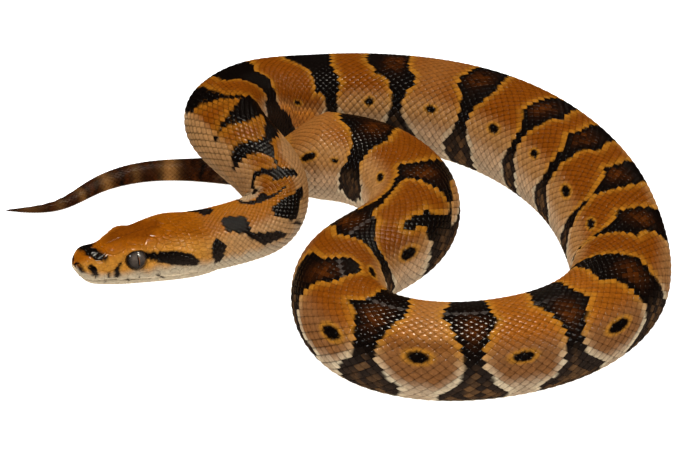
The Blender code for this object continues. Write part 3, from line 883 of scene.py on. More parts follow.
def add_spots(result, s, angle, scale):
    """The black spots and their yellow rings, drawn across scales."""
    for at, q, reach, tall in SPOTS:
        off = np.hypot((s - at) / reach, (angle - q) * scale / tall)
        near = off < 2.2
        ringed = blend(result[near], RIM, 0.7 * (1 - ramp(off[near], 1.15, 1.7)))
        result[near] = blend(ringed, BLACK, 1 - ramp(off[near], 0.9, 1.12))
    return result


def marking_at(u, share, grain, exact=None):
    """The colours for places of the net; the spots can be asked for at places of their own."""
    flat = []
    for where_u, where_share in ((u, share), exact or (u, share)):
        s = behind_snout(where_u)
        scale = np.interp(where_u, net_u, girth * belly_share / BELLY_ANGLE)
        flat.append([np.ravel(v) for v in (s, read_angle(where_u, where_share), scale)])
    result = marking(*flat[0], np.ravel(np.broadcast_to(grain, np.shape(u))))
    return add_spots(result, *flat[1]).reshape(*np.shape(u), 3)


print("colour on the crown:", marking_at(np.array([20.0]), np.array([0.0]), 0.5).round(3))

# %% [markdown]
# ## Snake skin as a finish
# Fresh keratin scales are smooth and a little translucent, and throw small sharp lights. An image of
# scales could be wrapped on, but it would blur up close. So the colour is read from an attribute that
# each piece carries, a fine noise breaks it up inside a scale, and a very shallow bump stands for the
# fine lines in the keratin. A clear coat gives the sharp lights.

# %% Adding nodes
def add_node(tree, kind, links=(), **settings):
    """A node with its settings; numbered inputs are given as in0=..., links as (input, socket)."""
    node = tree.nodes.new(kind)
    for name, value in settings.items():
        if name.startswith("in"):
            node.inputs[int(name[2:])].default_value = value
        else:
            setattr(node, name, value)
    for name, socket in links:
        tree.links.new(socket, node.inputs[name])
    return node


def new_finish(name, values):
    """A material with these values on its shader; the material, its node tree and the shader."""
    finish = bpy.data.materials.new(name)
    finish.use_nodes = True
    shader = finish.node_tree.nodes["Principled BSDF"]
    for socket, value in values.items():
        shader.inputs[socket].default_value = value
    return finish, finish.node_tree, shader


print("materials so far:", len(bpy.data.materials))

# %% Finishes of scale, shield and skin
MOTTLE = 0.55                  # mm between flecks; real ones are finer, but would not show
FLECK_TONE = (0.78, 1.18)      # shade between flecks and on them
BUMP = 0.15
BUMP_HEIGHT = 0.00003          # metres


def scaly_finish(name, roughness, coat, shade):
    """Polished keratin: colour from the markings, fine mottling, and a clear coat that alone shines."""
    finish, tree, shader = new_finish(name, {
        "Metallic": 0, "IOR": 1.54, "Specular IOR Level": 0.0, "Coat Weight": coat, "Coat Roughness": 0.12})
    marks = add_node(tree, "ShaderNodeAttribute", attribute_name="marking")
    place = add_node(tree, "ShaderNodeTexCoord")
    mottle = add_node(tree, "ShaderNodeTexNoise", [("Vector", place.outputs["Object"])],
                      in2=1 / (MOTTLE * MM), in3=3.0)
    light = add_node(tree, "ShaderNodeMapRange", [("Value", mottle.outputs["Fac"])],
                     in1=0.3, in2=0.7, in3=FLECK_TONE[0] * shade, in4=FLECK_TONE[1] * shade)
    tinted = add_node(tree, "ShaderNodeVectorMath",
                      [(0, marks.outputs["Color"]), ("Scale", light.outputs["Result"])], operation="SCALE")
    rough = add_node(tree, "ShaderNodeMapRange", [("Value", mottle.outputs["Fac"])],
                     in1=0.3, in2=0.7, in3=roughness * 0.8, in4=roughness * 1.2)
    bump = add_node(tree, "ShaderNodeBump", [("Height", mottle.outputs["Fac"])], in0=BUMP, in1=BUMP_HEIGHT)
    tree.links.new(tinted.outputs[0], shader.inputs["Base Color"])
    tree.links.new(rough.outputs["Result"], shader.inputs["Roughness"])
    tree.links.new(bump.outputs["Normal"], shader.inputs["Normal"])
    return finish


scale_finish = scaly_finish("polished_keratin_scale", 0.45, 0.35, 1.0)
shield_finish = scaly_finish("polished_keratin_shield", 0.4, 0.3, 1.0)
skin_finish = scaly_finish("soft_skin_between_scales", 0.6, 0.0, 0.6)
print("finishes:", scale_finish.name, shield_finish.name, skin_finish.name)

# %% [markdown]
# ## The flat sheet
# So that colour and roughness can be kept on a flat sheet, every point of the skin gets its own place there.
# A projection from six sides would part the skin at odd places. It is unrolled as a hide is instead,
# distance along the body against distance round it, and cut into three strips, one over the other.

# %% Unwrapping
STRIP = 140.0                  # length and height of a strip
STRIP_TALL = 56.0
SHEET = 172.0                  # the square that holds the strips, in mm
PATCH = 0.003                  # the size of a scale's patch, as a share of the sheet


def unwrap(u, share, strip):
    """Place on the sheet, for a place on the skin and the strip that it belongs to."""
    wide = np.interp(u, net_u, girth)
    x = (u - strip * STRIP + 3) / SHEET
    y = (strip * STRIP_TALL + STRIP_TALL / 2 + share * wide + 1) / SHEET
    return np.stack([x, y], axis=-1)


def add_colours(mesh, colours):
    """Store linear colours on the points of a mesh."""
    layer = mesh.color_attributes.new("marking", "FLOAT_COLOR", "POINT")
    full = np.ones((len(mesh.vertices), 4), np.float32)
    full[:, :3] = colours
    layer.data.foreach_set("color", full.ravel())


def deselect():
    """Leave edit mode and let go of every object."""
    if bpy.context.object is not None and bpy.context.object.mode != "OBJECT":
        bpy.ops.object.mode_set(mode="OBJECT")
    bpy.ops.object.select_all(action="DESELECT")


print("place of the snout on the sheet:", unwrap(0.0, 0.0, 0.0).round(3))

# %% [markdown]
# ## The skin
# On the animal the skin is one soft sheet, and it shows as thin lines between the scales. It could be a
# remesh of the solids, but then its cuts would have to be filled. A grid is added instead, wrapped
# round the net with its rings close together on the head, and its two long edges are merged, so it
# closes along the belly, at the snout and at the tip of the tail.

# %% Rings of the skin
SKIN_AROUND = 120              # points in a ring
SKIN_CLOSE = 0.3               # between rings on the head
CLOSE_END = 34                 # where the close rings end
SKIN_WIDE = 1.0                # between rings on the body
FINE_TAIL = 50                 # the last stretch of the tail
TAIL_RINGS = 80                # has so many rings
TIP_GAP = 0.02                 # and the last of them is so far from the tip
skin_u = np.concatenate([
    np.arange(0, over_skin(CLOSE_END), SKIN_CLOSE),
    np.arange(over_skin(CLOSE_END), U_END - FINE_TAIL, SKIN_WIDE),
    np.linspace(U_END - FINE_TAIL, U_END - TIP_GAP, TAIL_RINGS), [U_END],
])
deselect()
bpy.ops.mesh.primitive_grid_add(x_subdivisions=len(skin_u) - 1, y_subdivisions=SKIN_AROUND, size=2)
skin = bpy.context.object
skin.name = "skin"
flat = np.empty(len(skin.data.vertices) * 3, np.float32)
skin.data.vertices.foreach_get("co", flat)
flat = flat.reshape(-1, 3)
ring = np.rint((flat[:, 0] + 1) / 2 * (len(skin_u) - 1)).astype(int)
share = flat[:, 1] / 2
u = skin_u[ring]
points = on_skin(u, share, np.zeros(len(u)))
last = ring == len(skin_u) - 1
points[last] = points[last].mean(axis=0)
points[ring == 0] = points[ring == 0].mean(axis=0)
skin.data.vertices.foreach_set("co", (points * MM).astype(np.float32).ravel())
print("rings of the skin:", len(skin_u))

# %% Colour and flat places of the skin
HEAD_GLOW = 1.2                # the gaps between the head's shields are paler
LOW_GAP = 0.35                 # and those low on the flank are darker
head_glow = 1 + HEAD_GLOW * (1 - ramp(u, 26, 34))
low_gap = 1 - LOW_GAP * ramp(np.abs(read_angle(u, share)), 50, 85) * ramp(u, 34, 40)
add_colours(skin.data, marking_at(u, share, np.full(len(u), 0.5)) * (head_glow * low_gap)[:, None])
corner = np.empty(len(skin.data.loops), np.int32)
skin.data.loops.foreach_get("vertex_index", corner)
face_of = np.repeat(np.arange(len(skin.data.polygons)), 4)
face_u = u[corner].reshape(-1, 4).min(axis=1)
places = unwrap(u[corner], share[corner], np.floor(face_u / STRIP)[face_of])
for layer in list(skin.data.uv_layers):
    skin.data.uv_layers.remove(layer)
bake_map = skin.data.uv_layers.new(name="OFBake")
bake_map.data.foreach_set("uv", places.astype(np.float32).ravel())
print("the skin fills the sheet from", places.min(axis=0).round(3), "to", places.max(axis=0).round(3))

# %% Closing the skin
MERGE = 1e-6                   # metres
bpy.ops.object.mode_set(mode="EDIT")
bpy.ops.mesh.select_all(action="SELECT")
bpy.ops.mesh.remove_doubles(threshold=MERGE)
bpy.ops.mesh.normals_make_consistent(inside=False)
bpy.ops.object.mode_set(mode="OBJECT")
skin.data.shade_smooth()
skin.data.materials.append(skin_finish)
flesh = [name for name in frame["nodes"] if not name.startswith("eye")]
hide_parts(*flesh)
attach(skin, "root")
print("skin:", len(skin.data.polygons), "faces for", len(flesh), "nodes")

# %% [markdown]
# ## One scale
# A body scale is a small rounded rhomb. Its front edge grows from the skin, its rear edge is free and
# lies over the scales behind. One is modelled from a circle of eight points: pulled up for its edge,
# drawn in for its rounded top, and tilted so that the rear stands highest. Geometry Nodes could
# spread it, but then its instances would have to be realized, so its points are copied by array.

# %% Modelling the scale
CORNERS = 8
EDGE_LEVEL = 1.0               # its parts are told apart by their levels, which lay_scales turns into
SHOULDER_OVER = 0.35           # heights: underside 0, edge 1, shoulder 1.35 and middle 1.47
MIDDLE_OVER = 0.12
EDGE_WIDTH = 0.94              # width of the edge's top over that of the underside
SHOULDER_WIDTH = 0.76          # and of the shoulder over that of the edge
POINTED = 0.62                 # 0 leaves a circle, 1 makes a rhomb
deselect()
bpy.ops.mesh.primitive_circle_add(vertices=CORNERS, radius=1, fill_type="NGON")
seed_scale = bpy.context.object
bpy.ops.object.mode_set(mode="EDIT")
bpy.ops.mesh.select_all(action="SELECT")
bpy.ops.mesh.extrude_region_move(TRANSFORM_OT_translate={"value": (0, 0, EDGE_LEVEL)})
bpy.ops.transform.resize(value=(EDGE_WIDTH, EDGE_WIDTH, 1))
bpy.ops.mesh.extrude_region_move(TRANSFORM_OT_translate={"value": (0, 0, SHOULDER_OVER)})
bpy.ops.transform.resize(value=(SHOULDER_WIDTH, SHOULDER_WIDTH, 1))
bpy.ops.mesh.poke(offset=MIDDLE_OVER)
bpy.ops.object.mode_set(mode="OBJECT")
template = np.array([v.co for v in seed_scale.data.vertices])
# Along and round the net turn left-handed seen from outside, so each face is listed the other way.
template_faces = [list(p.vertices)[::-1] for p in seed_scale.data.polygons]
bpy.data.objects.remove(seed_scale, do_unlink=True)

corner_pull = np.abs(template[:, 0]) + np.abs(template[:, 1])
round_reach = np.hypot(template[:, 0], template[:, 1])
rhomb = np.where(round_reach > 1e-6, (round_reach / np.maximum(corner_pull, 1e-6))**POINTED, 1)
template[:, :2] *= rhomb[:, None]
print("scale:", len(template), "points,", len(template_faces), "faces")

# %% One object from arrays
SHARP = math.radians(55)       # edges that turn by more than this stay sharp


def joined_mesh(name, points, faces, colours, places):
    """One object from arrays: points, lists of corners, colours of points and places of corners."""
    mesh = bpy.data.meshes.new(name)
    counts = np.array([len(f) for f in faces], np.int32)
    corners = np.concatenate([np.asarray(f, np.int32) for f in faces])
    mesh.vertices.add(len(points))
    mesh.vertices.foreach_set("co", (points * MM).astype(np.float32).ravel())
    mesh.loops.add(len(corners))
    mesh.loops.foreach_set("vertex_index", corners)
    mesh.polygons.add(len(faces))
    starts = np.concatenate([[0], np.cumsum(counts)[:-1]])
    mesh.polygons.foreach_set("loop_start", starts.astype(np.int32))
    mesh.update(calc_edges=True)
    add_colours(mesh, colours)
    bake = mesh.uv_layers.new(name="OFBake")
    bake.data.foreach_set("uv", places[corners].astype(np.float32).ravel())
    mesh.shade_smooth()
    mesh.set_sharp_from_angle(angle=SHARP)
    piece = bpy.data.objects.new(name, mesh)
    bpy.context.collection.objects.link(piece)
    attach(piece, "root")
    return piece


print("meshes so far:", [mesh.name for mesh in bpy.data.meshes])

# %% [markdown]
# ## Copying the scale
# Each scale of the coat sits at its root on the net and bends with the skin there. Its size follows the
# row that it stands in, and its colour is taken close to its middle, so that the edges of the markings
# run from scale to scale as on the animal. One function works out all the points of a piece at once.

# %% Bending the scale to the skin
EDGE_SUNK = -0.08              # the underside lies below the skin's surface
FREE_EDGE = 0.10               # how high the rear edge stands, and the front edge
ROOT_EDGE = 0.01
LEVELS = (1.0, 1.35, 1.47)     # edge, shoulder and middle
DOME = (0, 0.055, 0.13)        # and how high they stand over the edge
FULL_LONG = 1.9                # a scale of this length has these heights in full
NECK_BEAD = 0.6                # on the neck, scales are domed more, like beads
LOW_PARTED = 0.04              # low on the flank they part a little


def scale_reach(u, share, long, wide):
    """How far every point lies from its root, along the net and round it."""
    round_mm = np.interp(u, net_u, girth)
    pull = read_net(stretch, u, share)
    parted = 1 - LOW_PARTED * ramp(np.abs(read_angle(u, share)), 45, 80)
    real = long * np.clip(pull, 0.4, 1.35) * parted
    x = template[None, :, 0] * (real / 2 / np.maximum(pull, 0.35))[:, None]
    y = template[None, :, 1] * (wide * parted / 2 / round_mm)[:, None]
    return x, y


def scale_heights(u, long):
    """How high every point stands over the skin."""
    rear_share = (template[None, :, 0] + 1) / 2
    grow = np.clip(long / FULL_LONG, 0.35, 1.1)[:, None]
    level = template[None, :, 2]
    edge = (ROOT_EDGE + (FREE_EDGE - ROOT_EDGE) * rear_share) * grow
    bead = 1 + NECK_BEAD * (1 - ramp(u, 50, 62))[:, None]
    dome = np.interp(level, LEVELS, DOME) * grow * bead
    return np.where(level < 0.5, EDGE_SUNK * grow + 0.5 * edge * rear_share, edge + np.maximum(dome, 0))


def scale_shade(u, share):
    """How much of its colour every point keeps: the underside half, the edge less low on the flank."""
    level = template[None, :, 2]
    edge_shade = 0.84 - 0.2 * ramp(np.abs(read_angle(u, share)), 50, 95)[:, None]
    return np.where(level < 0.5, 0.5, np.where(level < 1.2, edge_shade, 1.0))


heights = scale_heights(np.array([150.0]), np.array([FULL_LONG]))
print("a full scale stands from", heights.min().round(3), "to", heights.max().round(3), "mm over the skin")

# %% Copying it over the body
TONE_REACH = 0.4               # colours are taken within this share of the way to the edge


def lay_scales(name, u, share, long, wide):
    """Copy the scale to every root, long and wide in mm, along the net."""
    x, y = scale_reach(u, share, long, wide)
    us = np.clip(u[:, None] + x, 0, U_END)
    shares = share[:, None] + y
    points = on_skin(us, shares, scale_heights(u, long)).reshape(-1, 3)
    grain = np.repeat(chance.random(len(u))[:, None], len(template), axis=1)
    tone_u = u[:, None] + x * TONE_REACH
    tone_share = share[:, None] + y * TONE_REACH
    colours = marking_at(tone_u, tone_share, grain, (us, shares))
    colours = (colours * scale_shade(u, share)[..., None]).reshape(-1, 3)
    roots = unwrap(u, share, np.floor(u / STRIP))
    places = (roots[:, None] + template[None, :, :2] * PATCH / 2).reshape(-1, 2)
    faces = [[c + k * len(template) for c in face] for k in range(len(u)) for face in template_faces]
    piece = joined_mesh(name, points, faces, colours, places)
    piece.data.materials.append(scale_finish)
    print(name, len(u), "scales,", len(faces), "faces")


print("points to a scale:", len(template))

# %% [markdown]
# ## Rows of scales
# The scales stand in rows along the body, each row half a scale behind its neighbours. There are 53
# rows round the middle, narrow on the back and wider low on the flank, and fewer on the tail. Each
# column is one loop step, and its distance follows the girth, so that neck scales come out small.

# %% Laying the rows
LOW_ROWS_WIDER = 0.25
SCALE_LONG = 1.1               # length over the free pitch, so that scales overlap
SCALE_WIDE = 0.97


def row_roots(start, end, rows, shape):
    """Roots of scales between two places behind the snout, in staggered columns."""
    us, shares, longs, wides = [], [], [], []
    u = float(over_skin(start))
    stop = float(over_skin(end))
    column = 0
    while u < stop:
        edge = np.interp(u, net_u, belly_share)
        round_mm = np.interp(u, net_u, girth)
        spacing = 2 * edge * round_mm / rows
        pitch = spacing * shape
        row = np.arange(column % 2, rows, 2)
        t = (row - (rows - 1) / 2) / ((rows - 1) / 2) * (1 - 0.5 / rows)
        share = t * (1 + LOW_ROWS_WIDER * t**2) / (1 + LOW_ROWS_WIDER) * edge
        wider = (1 + 3 * LOW_ROWS_WIDER * t**2) / (1 + LOW_ROWS_WIDER)
        us.append(np.full(len(row), u))
        shares.append(share)
        longs.append(pitch * SCALE_LONG * (0.92 + 0.2 * t**2))
        wides.append(2 * spacing * SCALE_WIDE * wider)
        u += pitch / 2
        column += 1
    return [np.concatenate(part) for part in (us, shares, longs, wides)]


BODY_ROWS = 53
ROW_SHAPE = 1.96               # length of a scale over the width of a row
# start and end behind the snout, rows, and the pieces with the place where each ends
STRETCHES = [
    (27.5, 352, BODY_ROWS, [
        ("scales_nape", 60), ("scales_neck", 95), ("scales_back", 165), ("scales_right", 235),
        ("scales_front", 300), ("scales_inner", 353)]),
    (352, 361, 37, [("scales_vent", 361)]),
    (361, 385, 25, [("scales_tail_root", 385)]),
    (385, 400, 19, [("scales_tail", 400)]),
    (400, LENGTH - 0.6, 13, [("scales_tail_tip", LENGTH)]),
]
for start, end, rows, pieces in STRETCHES:
    roots = row_roots(start, end, rows, ROW_SHAPE)
    from_u = 0.0
    for name, piece_end in pieces:
        to_u = float(over_skin(piece_end))
        chosen = (roots[0] >= from_u) & (roots[0] < to_u)
        lay_scales(name, *[values[chosen] for values in roots])
        from_u = to_u

# %% [markdown]
# ## Belly scutes
# Under the body one broad plate follows each column of scales. They are seldom seen, but the belly
# would look bare from low views. Each is a bar from one flank to the other, as thick as the coat.

# %% One scute
SCUTE_ACROSS = 14              # points from one flank to the other
SCUTE_STEP = 1.85              # length of a scute where the body is FULL_ROUND mm round
FULL_ROUND = 50
SCUTE_LAP = 0.02               # its ends lie under the lowest scales by this share of the round
BOW = 0.25                     # its middle lies behind its ends by this share of its length
# length along the body, in scute lengths, and height, once round the bar
PROFILE = [(0.0, -0.06), (0.0, 0.03), (0.45, 0.10), (1.1, 0.12), (1.15, -0.02)]


def scute_points(u, long, edge):
    """Places and heights of the points before it is bowed, and the bow; a row for each profile point."""
    across = np.linspace(edge - SCUTE_LAP, 1 - edge + SCUTE_LAP, SCUTE_ACROSS)
    bow = BOW * long * (1 - ((across - 0.5) / (0.5 - edge + SCUTE_LAP))**2)
    us = np.array([[u + p * long] * SCUTE_ACROSS for p, _ in PROFILE])
    heights = np.array([[h] * SCUTE_ACROSS for _, h in PROFILE])
    return us, np.tile(across, (len(PROFILE), 1)), heights, bow


def bar_faces(base, rows, across):
    """Faces of a bar made of rows of points: once round it, and its two ends."""
    faces = []
    for p in range(rows):
        a = base + p * across
        b = base + (p + 1) % rows * across
        faces += [[a + k, b + k, b + k + 1, a + k + 1] for k in range(across - 1)]
    faces.append([base + p * across for p in range(rows)][::-1])
    faces.append([base + p * across + across - 1 for p in range(rows)])
    return faces


print("faces of a scute:", len(bar_faces(0, len(PROFILE), SCUTE_ACROSS)))

# %% Laying the scutes
SCUTE_ROOT = 0.49              # share of the round at which the patch of a scute lies


def lay_scutes(name, start, end):
    """One scute behind the other, between two places behind the snout."""
    points, faces, colours, places = [], [], [], []
    u = float(over_skin(start))
    last = u + math.ceil(float(over_skin(end)) - u) - 1
    while u < last:
        edge = float(np.interp(u, net_u, belly_share))
        long = SCUTE_STEP * np.clip(float(np.interp(u, net_u, girth)) / FULL_ROUND, 0.3, 1.1)
        us, shares, heights, bow = scute_points(u, long, edge)
        faces += bar_faces(len(points) * shares.size, *shares.shape)
        points.append(on_skin(np.clip(us + bow, 0, U_END), shares, heights).reshape(-1, 3))
        root = unwrap(u, SCUTE_ROOT, np.floor(u / STRIP))
        spread = np.stack([us - u, (shares - 0.5) * 6], axis=-1)
        places.append(root + spread.reshape(-1, 2) * PATCH / 4)
        colours.append(marking_at(us, shares, np.full(us.shape, 0.5)).reshape(-1, 3))
        u += long
    piece = joined_mesh(name, np.concatenate(points), faces, np.concatenate(colours), np.concatenate(places))
    piece.data.materials.append(shield_finish)
    print(name, len(points), "scutes")
    return piece


def turn_outwards(piece):
    """Recalculate the normals of a finished piece."""
    deselect()
    bpy.context.view_layer.objects.active = piece
    piece.select_set(True)
    bpy.ops.object.mode_set(mode="EDIT")
    bpy.ops.mesh.select_all(action="SELECT")
    bpy.ops.mesh.normals_make_consistent(inside=False)
    bpy.ops.object.mode_set(mode="OBJECT")
    piece.select_set(False)


turn_outwards(lay_scutes("belly_scutes", 27, LENGTH - 3))

# %% [markdown]
# ## Shields of the head
# A python's crown has a few large paired shields, its lips a row each, its eyes a ring of small ones,
# and the temples small rounded ones that turn into the rows of the neck. They could be drawn one by
# one. Instead each gets a middle and a size, and the borders fall halfway between neighbours, which is
# how such plates grow. A flat map of the head, with the tip of the snout in its centre, holds them.

# %% The flat map of the head
MAP_RINGS = 160                # rings of the net that the map covers
radius_at = np.maximum(girth / (2 * math.pi), 1e-3)
map_u = net_u[1:MAP_RINGS]
between_rings = (radius_at[1:MAP_RINGS - 1] + radius_at[2:MAP_RINGS]) / 2
map_log = np.concatenate([[0], np.cumsum(STEP / between_rings)])
map_log += math.log(map_u[0])


def to_map(u, share):
    """Place on the map of a place on the head."""
    reach = np.exp(np.interp(u, map_u, map_log))
    return np.stack([reach * np.cos(2 * np.pi * share), reach * np.sin(2 * np.pi * share)], axis=-1)


def from_map(place):
    """Place on the head of a place on the map."""
    reach = np.maximum(np.hypot(place[..., 0], place[..., 1]), 1e-9)
    u = np.interp(np.log(reach), map_log, map_u)
    u = np.where(np.log(reach) < map_log[0], reach, u)
    return u, np.arctan2(place[..., 1], place[..., 0]) / (2 * np.pi)


def map_scale(u):
    """Length on the map of one mm at this distance from the snout."""
    return np.exp(np.interp(u, map_u, map_log)) / np.maximum(np.interp(u, net_u, radius_at), 0.05)


print("one mm is", map_scale(10.0).round(3), "of the map's units 10 mm from the snout")

# %% Middles of the large shields
# behind the snout, angle and radius: first the rostral at the tip, then those that are on both sides
ROSTRAL = (0.35, 180.0, 0.9)
CROWN = [
    (1.3, 30, 1.0), (3.9, 21, 1.5), (7.2, 18, 1.9), (11.6, 15, 2.2), (16.0, 13, 1.7), (19.4, 12, 1.2),
    (3.4, 56, 0.9), (5.4, 46, 1.1), (7.7, 46, 1.0), (10.6, 34, 1.5), (14.0, 33, 1.2), (1.6, 74, 0.8),
]
seeds = []                     # distance over the skin, share of the round, radius and kind


def add_seed(u, share, radius, kind):
    """Write down the middle of a shield."""
    seeds.append((float(u), float(share), float(radius), kind))


for s, q, r in [ROSTRAL] + [(s, hand * q, r) for s, q, r in CROWN for hand in (1, -1)]:
    add_seed(over_skin(s), net_share(s, q), r, "shield")
print("large shields:", len(seeds))

# %% Lips, eyes and holes
LIP_FIRST = 1.9
LIP_STEP = 2.05
LIP_UP = 0.95                  # from the line of the mouth to the middles
LIP_RADIUS = 0.95
LOWER_BEHIND = 0.5             # the lower row is moved so far back
LIP_COUNT = 12
EYE_ROWS = 100                 # the rings in which the eyes lie
OCULARS = 11                   # small shields round an eye
OCULAR_OUT = 0.55
OCULAR_LONG = 1.07             # their ring is a little longer than it is tall
OCULAR_TALL = 0.95


def mouth_at(u):
    """Share of the round at which the mouth lies."""
    row = int(round(u / STEP))
    row = min(max(row, min(mouth_share)), max(mouth_share))
    return mouth_share[row]


for hand in (1, -1):
    for k in range(LIP_COUNT):
        u = float(over_skin(LIP_FIRST + k * LIP_STEP))
        wide = np.interp(u, net_u, girth)
        for way, kind in ((-1, "upper_lip"), (1, "lower_lip")):
            back = LOWER_BEHIND if way > 0 else 0
            add_seed(u + back, hand * (mouth_at(u) + way * LIP_UP / wide), LIP_RADIUS, kind)
    place, look = eyes["eye_left" if hand > 0 else "eye_right"]
    offset = net[:EYE_ROWS] - place
    out = offset @ look
    apart = np.linalg.norm(offset - out[..., None] * look, axis=2)
    apart[out < 0] = 99
    row, column = np.unravel_index(np.argmin(apart), apart.shape)
    add_seed(row * STEP, even_share[column], EYE_RIM - 0.05, "eye")
    wide = np.interp(row * STEP, net_u, girth)
    reach = EYE_RIM + OCULAR_OUT
    for k in range(OCULARS):
        turn = 2 * math.pi * k / OCULARS
        around = even_share[column] + OCULAR_TALL * reach * math.sin(turn) / wide
        add_seed(row * STEP + OCULAR_LONG * reach * math.cos(turn), around, 0.6, "ocular")
for s, q, radius, _ in holes:
    add_seed(over_skin(s), net_share(s, q), radius, "hole")
add_seed(over_skin(1.4), 0.5, 0.9, "lower_lip")
print("with lips, eyes and holes:", len(seeds))

# %% Small shields between the others
FILL = 0.98                    # from one to the next
FILL_ROWS = 0.86               # from row to row, over that
FILL_START = 2.2
FILL_END = 27.6
FILL_PAST = 2.2                # middles go on so far past the end, to bound the last shields
SMALL_RADIUS = 0.42
NEAR = 5                       # only middles this close are looked at
last_u = float(over_skin(FILL_END)) + FILL_PAST
rows_u = np.arange(float(over_skin(FILL_START)), last_u, FILL * FILL_ROWS)
for k, u in enumerate(rows_u):
    wide = float(np.interp(u, net_u, girth))
    count = int(round(wide / FILL))
    for j in range(count):
        share = (j + 0.5 * (k % 2)) / count - 0.5
        here = to_map(u, share)
        gaps = [np.linalg.norm(to_map(a, b) - here) / map_scale(u) - r
                for a, b, r, _ in seeds if abs(a - u) < NEAR]
        if not gaps or min(gaps) > SMALL_RADIUS:
            add_seed(u, share, SMALL_RADIUS, "small")
print("head places:", len(seeds))

# %% [markdown]
# ## Borders of the shields
# Each border starts as a square on the map, and every neighbour cuts off the part that lies nearer to
# it; a larger shield takes more. A thin seam is left between two shields. The mouth parts the lips, so
# its line cuts the shields of both rows. Last, corners are blunted and long edges get more points.

# %% Cutting and blunting
BLUNT_MOST = 0.3               # a corner takes at most this share of an edge


def clip(polygon, normal, reach):
    """The part of a polygon on the near side of a line."""
    result = []
    for p, q in zip(polygon, polygon[1:] + polygon[:1]):
        a = p @ normal - reach
        b = q @ normal - reach
        if a <= 0:
            result.append(p)
        if a * b < 0:
            result.append(p + (q - p) * (a / (a - b)))
    return result


def soften(polygon, cut, longest):
    """Blunt the corners and part the long edges."""
    result = []
    for p, q in zip(polygon, polygon[1:] + polygon[:1]):
        span = np.linalg.norm(q - p)
        if span < 1e-9:
            continue
        inset = min(cut / span, BLUNT_MOST)
        a = p + (q - p) * inset
        b = q - (q - p) * inset
        parts = max(1, int(span * (1 - 2 * inset) / longest))
        result += [a + (b - a) * k / parts for k in range(parts + 1)]
    return np.array(result)


square = [np.array(c, float) for c in ((-1, -1), (1, -1), (1, 1), (-1, 1))]
print("a square with its right half cut off:", clip(square, np.array([1.0, 0.0]), 0.0))

# %% Middles as arrays
seed_u = np.array([s[0] for s in seeds])
seed_share = np.array([s[1] for s in seeds])
seed_radius = np.array([s[2] for s in seeds])
seed_map = to_map(seed_u, seed_share)
seed_scale_at = map_scale(seed_u)
seed_place = on_skin(seed_u, seed_share, np.zeros(len(seeds)))
mouth_us = np.array([i * STEP for i in sorted(mouth_share)])
mouth_line = to_map(mouth_us, np.array([mouth_share[i] for i in sorted(mouth_share)]))
above_mouth = np.array([abs(b) < mouth_at(a) for a, b, _, _ in seeds])
near_mouth = seed_u < float(over_skin(MOUTH_END))
print("middles above the mouth:", int(above_mouth.sum()), "of", len(seeds))

# %% The border of one shield
SEAM = 0.045                   # between neighbours
MOUTH_SEAM = 0.06              # and from the line of the mouth
MOUTH_NEAR = 3.5               # a shield further from the mouth isn't cut by it
START_SIZE = 4.5               # half the square that a border starts as
NEIGHBOURS = 60                # how many are looked at
FAR = 7                        # and how far away they may be


def mouth_cut(i):
    """The line of the mouth beside a shield, if it is near: its normal and reach on the map."""
    here = seed_map[i].copy()
    flip = np.array([1.0, 1.0 if here[1] >= 0 else -1.0])
    gap = np.linalg.norm(mouth_line - here * flip, axis=1)
    k = int(np.clip(np.argmin(gap), 1, len(mouth_line) - 2))
    if gap[k] > MOUTH_NEAR * seed_scale_at[i]:
        return None
    run = (mouth_line[k + 1] - mouth_line[k - 1]) * flip
    normal = np.array([-run[1], run[0]]) / np.linalg.norm(run)
    point = mouth_line[k] * flip
    if (here - point) @ normal > 0:
        normal = -normal
    return normal, point @ normal - MOUTH_SEAM * seed_scale_at[i]


def outline(i):
    """The border of one shield on the map."""
    size = START_SIZE * seed_scale_at[i]
    here = seed_map[i]
    polygon = [here + size * c for c in square]
    apart = np.linalg.norm(seed_place - seed_place[i], axis=1)
    for j in np.argsort(apart)[1:NEIGHBOURS]:
        if apart[j] > FAR:
            break
        if near_mouth[i] and near_mouth[j] and above_mouth[i] != above_mouth[j]:
            continue
        between = seed_map[j] - here
        span = np.linalg.norm(between)
        if span < 1e-9:
            continue
        scale = math.sqrt(seed_scale_at[i] * seed_scale_at[j])
        weight = scale**2 * (seed_radius[i]**2 - seed_radius[j]**2)
        reach = (span**2 + weight) / (2 * span) - SEAM / 2 * scale
        polygon = clip(polygon, between / span, here @ (between / span) + reach)
        if len(polygon) < 3:
            return None
    cut = mouth_cut(i) if near_mouth[i] else None
    if cut is not None:
        polygon = clip(polygon, *cut)
    return polygon if len(polygon) > 2 else None


print("corners of the rostral's border:", len(outline(0)))

# %% [markdown]
# ## Shields as plates
# Each border is lifted off the map and becomes a closed plate on the head: rings that stand up steeply,
# then turn in to a nearly flat top. Extruding the borders by hand would give the same plates, but would
# have to be done some hundreds of times.

# %% The faces of a shield
# width over that of the border, and height over the skin
SHIELD_RINGS = [(1.0, -0.07), (1.0, 0.04), (0.94, 0.085), (0.68, 0.10)]
SHIELD_TOP = 0.105


def shield_faces(base, count, rings):
    """Rings of four-cornered faces, a fan over the top and one face below."""
    faces = []
    for level in range(rings - 1):
        a = base + level * count
        b = a + count
        faces += [[a + k, a + (k + 1) % count, b + (k + 1) % count, b + k] for k in range(count)]
    top = base + (rings - 1) * count
    faces += [[top + k, top + (k + 1) % count, top + count] for k in range(count)]
    return faces + [[base + k for k in range(count)][::-1]]


print("faces of a shield with six corners:", len(shield_faces(0, 6, len(SHIELD_RINGS))))

